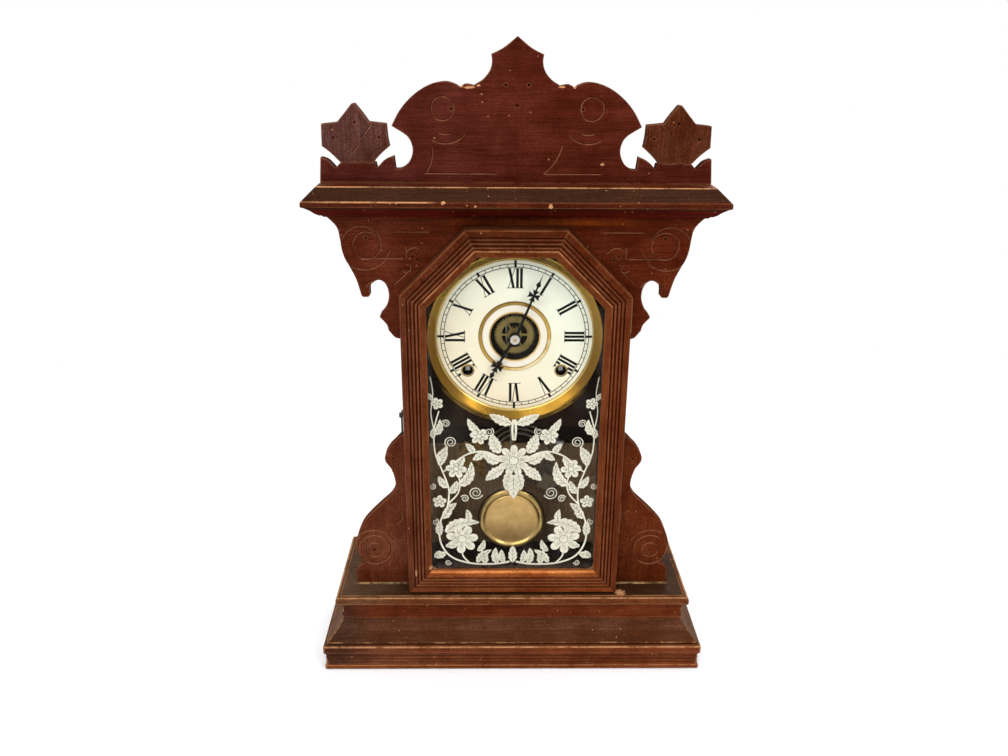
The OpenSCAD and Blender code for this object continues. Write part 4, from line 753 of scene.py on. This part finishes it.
def glyphStrokes(text):
    # strokes as (across at the foot, across at the top, width), and the whole width
    style, strokes, at = numeralStyle, [], 0.0
    thick, thin, wide = style["thick"], style["thin"], style["wide"]
    for letter in text:
        if letter == "I":
            strokes.append((at + thick / 2, at + thick / 2, thick))
            at += thick + style["gap"]
            continue
        if letter == "V":
            foot = at + wide * 0.55
            strokes.append((foot, at + thick / 2, thick))
            strokes.append((foot + 0.5, at + wide, thin))
        else:
            strokes.append((at + wide - thick / 2, at + thick / 2, thick))
            strokes.append((at + 0.3, at + wide - 0.2, thin))
        at += wide + style["gap"]
    return strokes, at - style["gap"]


def printStroke(bm, angle, start, end, width, front, back):
    # a stroke between two points (across, out) of the dial, left out where a winding hole is
    rise = abs(end[1] - start[1])
    halfAcross, halfOut = (width / 2, 0) if rise > abs(end[0] - start[0]) else (0, width / 2)
    steps = 22 if rise > 4 else 6
    runs = [[]]
    for i in range(steps + 1):
        u, v = (p + (q - p) * i / steps for p, q in zip(start, end))
        if min(math.dist(dialPoint(angle, u, v), hole) for hole in dial["holes"]) < dial["holeClear"]:
            runs.append([])
        else:
            runs[-1].append((u, v))
    for run in runs:
        if len(run) > 1:
            left = [dialPoint(angle, u - halfAcross, v - halfOut) for u, v in run]
            right = [dialPoint(angle, u + halfAcross, v + halfOut) for u, v in run]
            addPlate(bm, right + left[::-1], front, back)


def printNumerals(bm, front, back):
    style = numeralStyle
    foot, top = style["foot"], style["top"]
    for hour, text in enumerate(numerals):
        angle = hour * 30
        strokes, width = glyphStrokes(text)
        for low, high, thick in strokes:
            low, high, reach = low - width / 2, high - width / 2, thick / 2 + style["topReach"]
            printStroke(bm, angle, (low, foot), (high, top), thick, front, back)
            printStroke(bm, angle, (high - reach, top), (high + reach, top), style["topSerif"], front, back)
        reach = 1.5 if text == "V" else width / 2 + style["overhang"]
        middle = width * 0.08 if text == "V" else 0.0
        left, right = (middle - reach, foot), (middle + reach, foot)
        printStroke(bm, angle, left, right, style["footSerif"], front, back)


def printMinutes(bm, front, back):
    track = minuteTrack
    for radius in (track["inner"], track["outer"]):
        sides = [(radius + sign * track["line"] / 2, depth) for sign, depth in
                 ((-1, front - track["ringLift"]), (1, front - track["ringLift"]), (1, back), (-1, back))]
        joinRings(bm, [ringAt(bm, dial["centre"], r, depth, track["corners"]) for r, depth in sides])
    for minute in range(60):
        half, high = track["tick"] / 2, track["outer"]
        if minute % 5 == 0:
            half, high = track["hourTick"] / 2, track["hourEnd"]
        if minute % 15 == 0:
            high = track["quarterEnd"]
        corners = [(-half, track["inner"]), (half, track["inner"]), (half, high), (-half, high)]
        addPlate(bm, [dialPoint(minute * 6, u, v) for u, v in corners], front - track["tickLift"], back)


def printDial():
    bm = bmesh.new()
    front, back = dial["face"] - dial["printDepth"], dial["face"] + dial["printDepth"]
    printNumerals(bm, front, back)
    printMinutes(bm, front, back)
    material, tree, shader, coords = startMaterial("dialInk")
    wear = clouds(tree, coords, 4, 4, 0.7)
    ink = mixColour(tree, remap(tree, wear, 0.45, 0.75), (0.004, 0.004, 0.004), (0.020, 0.017, 0.013))
    setSurface(tree, shader, ink, remap(tree, wear, 0.3, 0.7, 0.45, 0.65), specular=0.06)
    meshFrom(bm, "dialPrint", material, "case")


dialTones = {
    "warm": (0.86, 0.755, 0.53),
    "cool": (0.90, 0.945, 0.775),
    "spot": (0.50, 0.36, 0.18),
    "rim": (0.70, 0.55, 0.27),
    "inner": (0.86, 0.80, 0.66),
    "giltShaded": (0.33, 0.20, 0.045),
    "gilt": (0.62, 0.40, 0.10),
    "giltHighlight": (0.86, 0.72, 0.40),
    "giltEdge": (0.17, 0.10, 0.025),
}
dialRadii = {"collar": 22.4, "inner": (22.6, 27.9), "ring": (28.1, 31.6), "rim": (64.0, 69.5)}


def paintDial():
    material, tree, shader, coords = startMaterial("dialPaper")
    radius, across, above = radiusFrom(tree, coords, dial["centre"])
    # yellower towards the lower left, cooler towards the upper right
    cool = plus(tree, times(tree, across, 0.7), times(tree, above, 0.9))
    cool = plus(tree, remap(tree, cool, -70, 70),
                remap(tree, clouds(tree, coords, 30, 5, 0.7), 0.3, 0.7, -0.18, 0.18), clamp=True)
    paper = mixColour(tree, cool, dialTones["warm"], dialTones["cool"])
    spots = remap(tree, clouds(tree, coords, 2.2, 3, 0.6), 0.70, 0.78, 0.0, 0.35)
    paper = mixColour(tree, spots, paper, dialTones["spot"])
    paper = mixColour(tree, remap(tree, radius, *dialRadii["rim"], 0.0, 0.28), paper, dialTones["rim"])
    paper = mixColour(tree, between(tree, radius, *dialRadii["inner"]), paper, dialTones["inner"])
    # gilt ring and collar, with a painted highlight towards the lower right and painted shade towards the
    # upper left
    turn = minus(tree, times(tree, across, 0.6), times(tree, above, 0.8))
    turn = plus(tree, turn, remap(tree, clouds(tree, coords, 9, 4, 0.6, 2.0), 0.3, 0.7, -8, 8))
    ring = mixColour(tree, remap(tree, turn, -28, 18), dialTones["giltShaded"], dialTones["gilt"])
    ring = mixColour(tree, remap(tree, turn, 20, 29), ring, dialTones["giltHighlight"])
    low, high = dialRadii["ring"]
    edge = smaller(tree, gap(tree, radius, high), gap(tree, radius, low))
    ring = mixColour(tree, remap(tree, edge, 0.6, 0.2, 0.0, 0.7), ring, dialTones["giltEdge"])
    gilt = larger(tree, between(tree, radius, low, high), between(tree, radius, 0.0, dialRadii["collar"]))
    setSurface(tree, shader, mixColour(tree, gilt, paper, ring), minus(tree, 0.5, times(tree, gilt, 0.2)),
               specular=0.2, metallic=gilt)
    addBump(tree, shader, clouds(tree, coords, 0.9, 3, 0.6), 0.12, 0.1)
    dress(material, "dial_plate")


# gold, brown, olive and right are painted reflections, flange is painted shade, line is a painted highlight
# also used for the lathe rings, and spot is tarnish
bezelReflectionsAndTarnish = {
    "gold": (0.19, 0.100, 0.009),
    "brown": (0.135, 0.058, 0.004),
    "olive": (0.24, 0.155, 0.028),
    "right": (0.28, 0.17, 0.035),
    "flange": (0.05, 0.036, 0.010),
    "line": (0.50, 0.36, 0.12),
    "spot": (0.07, 0.048, 0.016),
}
bezelRadii = {"line": (67.5, 69.2), "flange": (77.6, 78.2)}


def brassBezel():
    # painted reflections: gold at the foot, brown at the sides, olive at the top and paler to the right;
    # painted shade on the flange, a painted highlight on the line near the dial, and tarnish spots
    material, tree, shader, coords = startMaterial("bezelBrass")
    radius, across, above = radiusFrom(tree, coords, dial["centre"])
    blotch = clouds(tree, coords, 18, 5, 0.65)
    height = plus(tree, above, remap(tree, blotch, 0.3, 0.7, -18, 18))
    tone = mixColour(tree, remap(tree, height, -72, -30), bezelReflectionsAndTarnish["gold"], bezelReflectionsAndTarnish["brown"])
    tone = mixColour(tree, remap(tree, height, 10, 55), tone, bezelReflectionsAndTarnish["olive"])
    side = times(tree, remap(tree, across, 30, 68), remap(tree, above, -55, 0))
    tone = mixColour(tree, times(tree, side, 0.5, clamp=True), tone, bezelReflectionsAndTarnish["right"])
    tone = mixColour(tree, remap(tree, radius, *bezelRadii["flange"], 0.0, 0.55), tone, bezelReflectionsAndTarnish["flange"])
    line = times(tree, between(tree, radius, *bezelRadii["line"]), 0.8)
    tone = mixColour(tree, line, tone, bezelReflectionsAndTarnish["line"])
    rings = fineRings(tree, radius, 1.6)
    tone = mixColour(tree, remap(tree, rings, 0.35, 0.75, 0.0, 0.12), tone, bezelReflectionsAndTarnish["line"])
    spots = remap(tree, clouds(tree, coords, 2.8, 4, 0.7), 0.62, 0.74, 0.0, 0.6)
    setSurface(tree, shader, mixColour(tree, spots, tone, bezelReflectionsAndTarnish["spot"]),
               remap(tree, blotch, 0.3, 0.7, 0.15, 0.30), metallic=1.0)
    addBump(tree, shader, rings, 0.2, 0.1)
    dress(material, "bezel")


# section of the round lip at each winding hole: radius and height above the dial
eyelet = {"profile": [(4.72, -0.02), (4.95, 0.28), (5.35, 0.36), (5.75, 0.24), (6.0, -0.02)], "corners": 48}


def holeEyelets():
    bm = bmesh.new()
    for hole in dial["holes"]:
        joinRings(bm, [ringAt(bm, hole, radius, dial["face"] - rise, eyelet["corners"])
                       for radius, rise in eyelet["profile"]])
    meshFrom(bm, "windingEyelets", finish["oldBrass"], "case", smooth=True)


printDial()
paintDial()
brassBezel()
holeEyelets()
print("clock: dial is printed")


# how opaque the clean glass, its smears and the dust at its edges are
glassFilm = {"clear": 0.006, "smear": 0.022, "edgeDust": 0.10, "side": (70, 75.5), "foot": (102, 94),
             "dirt": (0.50, 0.44, 0.36), "dust": (0.45, 0.36, 0.26)}


def makeGlass():
    material, tree, shader, coords = startMaterial("doorGlass")
    x, _, z = splitAxes(tree, coords)
    smear = remap(tree, clouds(tree, coords, (30, 30, 90), 5, 0.6), 0.5, 0.75)
    film = plus(tree, glassFilm["clear"], times(tree, smear, glassFilm["smear"]))
    edge = larger(tree, remap(tree, calc(tree, "ABSOLUTE", x), *glassFilm["side"]),
                  remap(tree, z, *glassFilm["foot"]))
    dusty = times(tree, edge, remap(tree, clouds(tree, coords, 6, 4, 0.7), 0.4, 0.65))
    setSurface(tree, shader, mixColour(tree, dusty, glassFilm["dirt"], glassFilm["dust"]),
               remap(tree, smear, 0.0, 1.0, 0.06, 0.2), specular=0.07)
    film = plus(tree, film, times(tree, dusty, glassFilm["edgeDust"]), clamp=True)
    feed(tree, shader.inputs["Alpha"], film)
    dress(material, "door_glass")


# the paint lies on the back of the glass; each shape lies a little deeper than the one before
stencil = {
    "lines": -33.98,
    "first": -33.96,
    "step": 0.0025,
    "thick": 0.002,
    "vein": 0.42,
    "sideVein": 0.26,
    "petalLines": ((0.0, 0.82), (0.16, 0.66), (-0.16, 0.66)),  # angle from the petal's middle, reach
    "petalLine": 0.36,
    "eye": 0.27,
    "eyeLine": 0.5,
    "curl": 0.9,
    "silver": ((0.64, 0.60, 0.46), (0.86, 0.83, 0.67), (0.42, 0.39, 0.30)),
    "lineTones": ((0.07, 0.06, 0.045), (0.24, 0.22, 0.17)),
}


class Sheet:
    # collects flat shapes (x, z) for one layer of the stencil
    def __init__(self, front, step):
        self.bm = bmesh.new()
        self.front, self.step = front, step

    def add(self, points):
        addPlate(self.bm, points, self.front, self.front + stencil["thick"])
        self.front += self.step


def smoothPath(points, steps=9):
    # a smooth curve through the points
    path = []
    for i in range(len(points) - 1):
        corners = [points[k] for k in (max(i - 1, 0), i, i + 1, min(i + 2, len(points) - 1))]
        for k in range(steps):
            t = k / steps
            path.append(tuple(b + ((c - a) * t + (2 * a - 5 * b + 4 * c - d) * t * t
                                   + (3 * b - a - 3 * c + d) * t ** 3) / 2 for a, b, c, d in zip(*corners)))
    return path + [points[-1]]


def ribbon(sheet, path, width):
    # width is a function of how far along the path a point lies, from 0 to 1
    left, right, last = [], [], len(path) - 1
    for i, (x, z) in enumerate(path):
        ax, az = path[max(i - 1, 0)]
        bx, bz = path[min(i + 1, last)]
        size = math.hypot(bx - ax, bz - az) or 1.0
        nx, nz = (az - bz) / size, (bx - ax) / size
        half = max(width(i / last), 0.12) / 2
        left.append((x + nx * half, z + nz * half))
        right.append((x - nx * half, z - nz * half))
    sheet.add(right + left[::-1])


def leaf(paint, veins, side, base, angle, length, width, teeth, bend):
    # a toothed leaf with a midrib and side veins; side is -1 for the left half
    a = math.radians(angle)

    def at(t, off):
        turn = a + math.radians(bend) * t
        x = base[0] + length * t * math.cos(turn) - off * math.sin(turn)
        z = base[1] + length * t * math.sin(turn) + off * math.cos(turn)
        return side * x, z

    def half(t):
        tooth = 1 - 0.30 * ((t * teeth) % 1.0)
        return width / 2 * math.sin(math.pi * min(t, 1.0) ** 0.8) ** 0.75 * tooth if 0 < t < 1 else 0.0

    count = teeth * 6
    ts = [i / count for i in range(count + 1)]
    upper = [at(t, half(t)) for t in ts]
    lower = [at(t, -half(t)) for t in ts[1:-1]]
    outline = upper + lower[::-1]
    paint.add(outline if side < 0 else outline[::-1])
    ribbon(veins, [at(t, 0) for t in (0.06, 0.3, 0.6, 0.88)], lambda t: stencil["vein"] * (1 - 0.6 * t))
    for k in range(1, teeth):
        t = k / (teeth + 0.6)
        for sign in (1, -1):
            tip = at(t + 0.15, sign * half(t + 0.15) * 0.72)
            ribbon(veins, [at(t, 0), tip], lambda t: stencil["sideVein"])


def blossom(paint, veins, side, centre, radius, petals, turn):
    def at(angle, out):
        return side * (centre[0] + out * radius * math.cos(angle)), centre[1] + out * radius * math.sin(angle)

    angles = [2 * math.pi * i / (petals * 14) for i in range(petals * 14)]
    outline = [at(a + turn, 0.50 + 0.50 * abs(math.cos(petals * a / 2)) ** 0.55) for a in angles]
    paint.add(outline if side > 0 else outline[::-1])
    for k in range(petals):
        for spread, reach in stencil["petalLines"]:
            a = 2 * math.pi * k / petals + turn + spread
            ribbon(veins, [at(a, 0.36), at(a, reach)], lambda t: stencil["petalLine"] * (1 - 0.5 * t))
    ribbon(veins, [at(2 * math.pi * i / 28, stencil["eye"]) for i in range(29)], lambda t: stencil["eyeLine"])


def curl(paint, side, centre, radius, turns, start):
    count = int(turns * 22)
    path = []
    for i in range(count + 1):
        t = i / count
        a = math.radians(start) + 2 * math.pi * turns * t
        r = radius * (1 - 0.82 * t)
        path.append((side * (centre[0] + r * math.cos(a)), centre[1] + r * math.sin(a)))
    ribbon(paint, path, lambda t: stencil["curl"] * (1 - 0.35 * t))


# a made-up growth of stems, leaves and blossoms, drawn for the right half
growth = {
    "stems": [
        # points, width at the foot, width at the tip
        ([(3, 100), (18, 97.5), (40, 98.5), (58, 106), (67, 122), (66.5, 142), (60, 158), (58.5, 176),
          (64, 194), (70, 212), (70.5, 234), (66, 252)], 2.0, 1.1),
        ([(60, 160), (50, 172), (49, 186), (56, 198)], 1.6, 1.0),
        ([(11, 206), (27, 213), (44, 209), (63, 193)], 1.9, 1.2),
        ([(40, 98.5), (46, 106), (47, 114)], 1.6, 1.2),
        ([(0.8, 244), (1.6, 234), (0.8, 224)], 2.2, 1.6),
        ([(70.5, 234), (73, 250), (71, 268), (73, 284)], 1.1, 0.6),
    ],
    "blossoms": [
        # centre, radius, petals, turn
        ((47, 124), 15.0, 7, 0.3), ((51.5, 196), 9.5, 6, 0.1), ((67, 163), 6.4, 5, 0.4),
        ((31, 228), 8.2, 6, 0.2), ((67.5, 259), 5.6, 5, 0.0),
    ],
    "leaves": [
        # base, angle, length, width, teeth, bend
        ((14, 98), 62, 17, 8, 4, 22), ((26, 97.5), 96, 15, 8, 4, -18), ((62, 109), -20, 12, 8, 3, 0),
        ((66.5, 128), 70, 15, 8, 4, 20), ((65, 146), 142, 17, 9, 4, -24), ((58.6, 178), 20, 14, 8, 4, 30),
        ((58, 172), 150, 14, 8, 4, -30), ((66, 199), 95, 15, 8, 4, 24), ((69, 208), 165, 14, 8, 4, -30),
        ((70.6, 226), 60, 10, 6, 3, 30), ((70.4, 230), 150, 15, 8, 4, -40), ((12, 212), 48, 20, 12, 5, 18),
        ((9, 196), -22, 20, 11, 5, -14), ((13, 203), 8, 17, 10, 4, 24), ((27, 213), -60, 13, 8, 4, 20),
        ((36, 211), 75, 12, 7, 4, -20), ((45, 208), -75, 12, 7, 4, 30), ((2, 240), 14, 22, 10, 5, 10),
        ((30, 232), 20, 17, 8, 4, 30), ((42, 142), 118, 13, 7, 4, -30), ((33, 112), 160, 13, 7, 4, -40),
        ((62, 116), 150, 10, 6, 3, 30), ((72, 104), 120, 9, 6, 3, 0), ((71.5, 262), 60, 8, 5, 3, 0),
        ((8, 99), 60, 14, 7, 4, 20), ((33, 99), 112, 19, 8, 5, 22), ((62, 131), 128, 33, 12, 7, 34),
        ((50, 180), 165, 26, 11, 6, -48), ((61, 150), 110, 15, 7, 4, 20),
    ],
    "curls": [
        # centre, radius, turns, angle at the start
        ((34, 172), 6.5, 2.0, 200), ((44, 166), 3.8, 1.7, 20), ((22, 232), 4.2, 1.8, 120),
        ((73, 178), 3.0, 1.6, 90), ((56, 222), 5.6, 2.0, 300), ((60, 240), 3.6, 1.7, 30),
        ((71, 142), 3.2, 1.5, 100), ((60, 99), 3.0, 1.6, 180),
    ],
    "middleLeaves": [((0, 190), -90, 24, 13, 5, 0), ((-3, 193), -112, 19, 9, 4, 10),
                     ((3, 193), -68, 19, 9, 4, -10), ((0, 99), 90, 18, 9, 4, 0)],
    "middleBlossom": ((0, 204), 15.5, 9, 0.17),
}


def paintStencil():
    paint = Sheet(stencil["first"], stencil["step"])
    veins = Sheet(stencil["lines"], 0.0)
    for side in (1, -1):
        for points, startWidth, endWidth in growth["stems"]:
            path = [(side * x, z) for x, z in smoothPath(points)]
            ribbon(paint, path, lambda t: startWidth + (endWidth - startWidth) * t)
        for values in growth["blossoms"]:
            blossom(paint, veins, side, *values)
        for values in growth["leaves"]:
            leaf(paint, veins, side, *values)
        for values in growth["curls"]:
            curl(paint, side, *values)
    for values in growth["middleLeaves"]:
        leaf(paint, veins, 1, *values)
    blossom(paint, veins, 1, *growth["middleBlossom"])

    material, tree, shader, coords = startMaterial("stencilSilver")
    dull, bright, grey = stencil["silver"]
    worn = clouds(tree, coords, 6, 5, 0.7)
    tone = mixColour(tree, remap(tree, worn, 0.3, 0.7), dull, bright)
    speck = remap(tree, clouds(tree, coords, 0.7, 3, 0.7), 0.5, 0.75, 0.0, 0.4)
    setSurface(tree, shader, mixColour(tree, speck, tone, grey), remap(tree, worn, 0.3, 0.7, 0.5, 0.7),
               specular=0.2)
    meshFrom(paint.bm, "glassStencil", material, "door")

    material, tree, shader, coords = startMaterial("stencilLines")
    setSurface(tree, shader, mixColour(tree, clouds(tree, coords, 4, 4, 0.6), *stencil["lineTones"]), 0.6)
    meshFrom(veins.bm, "glassStencilLines", material, "door")


# a black strip along the foot of the glass as painted shadow, and the slips of putty in its corners
glassFoot = {"half": 75.0, "foot": 94.0, "wide": 0.88, "round": 7.0, "slip": 5.0, "slipFront": -37.0,
             "slipBack": -36.02, "putty": stain(196, 146, 100)}


def roundedCorner(side, reach, centreIn, steps=10):
    # points of a quarter round between the foot and the side of the opening
    points = []
    for i in range(steps + 1):
        a = math.pi / 2 * i / steps
        points.append((side * (glassFoot["half"] - centreIn + reach * math.cos(a)),
                       glassFoot["foot"] + centreIn - reach * math.sin(a)))
    return points


def glassFootShadow():
    shadowStrip = Sheet(stencil["first"], 0.0)
    foot, wide, bend = glassFoot["foot"], glassFoot["wide"], glassFoot["round"]
    for side in (1, -1):
        edge = side * glassFoot["half"]
        arc = roundedCorner(side, bend, wide + bend)
        shadowStrip.add([(0, foot), (edge, foot), (edge, foot + wide + bend)] + arc + [(0, foot + wide)])
    material, tree, shader, coords = startMaterial("footShadowPaint")
    wear = remap(tree, clouds(tree, coords, 3, 4, 0.7), 0.4, 0.7)
    setSurface(tree, shader, mixColour(tree, wear, (0.004, 0.003, 0.002), (0.020, 0.014, 0.010)), 0.5,
               specular=0.06)
    meshFrom(shadowStrip.bm, "glassFootShadow", material, "door")


def cornerSlips():
    bm = bmesh.new()
    for side in (1, -1):
        corner = (side * glassFoot["half"], glassFoot["foot"])
        addPlate(bm, [corner] + roundedCorner(side, glassFoot["slip"], glassFoot["slip"]),
                 glassFoot["slipFront"], glassFoot["slipBack"])
    putty = makeWood("cornerPutty", "x", glassFoot["putty"], 0.5, 0.2, 0.6, contrast=0.6, leftSheen=0.0)
    meshFrom(bm, "cornerSlips", putty, "door")


makeGlass()
glassFootShadow()
cornerSlips()
paintStencil()
print("clock: glass and stencil are done")


# what is left of a plain paper inside the back
torn = {
    "front": 49.85,
    "back": 49.9,
    "ragged": 0.5,
    "tones": (stain(112, 84, 46), stain(205, 162, 96), stain(96, 66, 34)),
    "pieces": [
        [(-52, 182), (-46, 185), (-40, 183.5), (-33, 187), (-27.5, 183), (-26.5, 176), (-29, 171.5),
         (-27, 166), (-28.4, 158), (-25.6, 151), (-28.5, 144), (-31, 147), (-34.2, 153.5), (-38.5, 152),
         (-41.6, 158.5), (-45.5, 157), (-49, 162), (-47.4, 168.5), (-52.2, 172)],
        [(-13.8, 168), (-9.2, 167), (-9.0, 150), (-9.8, 136), (-13.6, 137.5), (-13.1, 152)],
        [(-9, 184.5), (2, 186), (5, 180.5), (1.5, 176), (-6, 178)],
    ],
}


def tornPaper():
    rnd = random.Random(7)
    bm = bmesh.new()
    for piece in torn["pieces"]:
        outline = []
        for (ax, az), (bx, bz) in zip(piece, piece[1:] + piece[:1]):
            outline.append((ax, az))
            for t in (0.35, 0.7):
                x = ax + (bx - ax) * t + rnd.uniform(-torn["ragged"], torn["ragged"])
                z = az + (bz - az) * t + rnd.uniform(-torn["ragged"], torn["ragged"])
                outline.append((x, z))
        addPlate(bm, outline, torn["front"], torn["back"])
    material, tree, shader, coords = startMaterial("oldPaper")
    brown, pale, dark = torn["tones"]
    blotch = clouds(tree, coords, 7, 5, 0.7)
    tone = mixColour(tree, remap(tree, blotch, 0.35, 0.65), brown, pale)
    fibre = remap(tree, clouds(tree, coords, (2.5, 1.0, 0.6), 3, 0.6), 0.55, 0.72, 0.0, 0.5)
    setSurface(tree, shader, mixColour(tree, fibre, tone, dark), remap(tree, blotch, 0.3, 0.7, 0.65, 0.85),
               specular=0.1)
    meshFrom(bm, "tornPaper", material, "case")


tornPaper()
print("clock: paper inside the back is torn")


# nails that hold the back; their section is given as shares of the radius and of the rise
nails = {"rise": 0.7, "radius": 2.1, "x": 82.0, "heights": (84, 140, 196, 252, 308, 364, 412),
         "across": (-42, 0, 42), "wander": (1.5, 4), "sizes": (0.85, 1.05), "corners": 20,
         "profile": [(0.30, 1.0), (0.62, 0.86), (0.88, 0.52), (1.0, 0.0), (0.9, -0.3)]}


def backNails():
    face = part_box("case_back")[1][1] / mm
    heights, (wanderX, wanderZ) = nails["heights"], nails["wander"]
    places = [(side * nails["x"], z) for side in (1, -1) for z in heights]
    places += [(x, z) for x in nails["across"] for z in (heights[0], heights[-1])]
    rnd = random.Random(11)
    bm = bmesh.new()
    for x, z in places:
        centre = (x + rnd.uniform(-wanderX, wanderX), z + rnd.uniform(-wanderZ, wanderZ))
        size = nails["radius"] * rnd.uniform(*nails["sizes"])
        rings = [ringAt(bm, centre, size * share, face + nails["rise"] * lift, nails["corners"])
                 for share, lift in nails["profile"]]
        joinRings(bm, rings, closed=False)
        bm.faces.new(rings[0])
        bm.faces.new(rings[-1][::-1])
    meshFrom(bm, "backNails", finish["rust"], "case", smooth=True)


backNails()
print("clock: back is nailed on")


bob = {
    "centre": (-1.0, 131.9),
    "rimFrom": (24.4, 25.1),
    "disc": ((0.48, 0.31, 0.11), (0.62, 0.42, 0.17)),
    "rim": ((0.34, 0.23, 0.07), (0.50, 0.36, 0.14)),
    "spot": (0.12, 0.075, 0.03),
}


def brassBob():
    material, tree, shader, coords = startMaterial("bobBrass")
    radius = radiusFrom(tree, coords, bob["centre"])[0]
    blotch = remap(tree, clouds(tree, coords, 10, 5, 0.65), 0.35, 0.7)
    rim = remap(tree, radius, *bob["rimFrom"])
    tone = mixColour(tree, rim, mixColour(tree, blotch, *bob["disc"]), mixColour(tree, blotch, *bob["rim"]))
    spots = remap(tree, clouds(tree, coords, 2.8, 4, 0.7), 0.62, 0.75, 0.0, 0.5)
    rings = fineRings(tree, radius, 1.3)
    rough = minus(tree, remap(tree, rings, 0.3, 0.7, 0.42, 0.55), times(tree, rim, 0.2))
    setSurface(tree, shader, mixColour(tree, spots, tone, bob["spot"]), rough, metallic=1.0)
    addBump(tree, shader, rings, 0.25, 0.1)
    dress(material, "pendulum_bob")


brassBob()
print("clock: bob is hung")
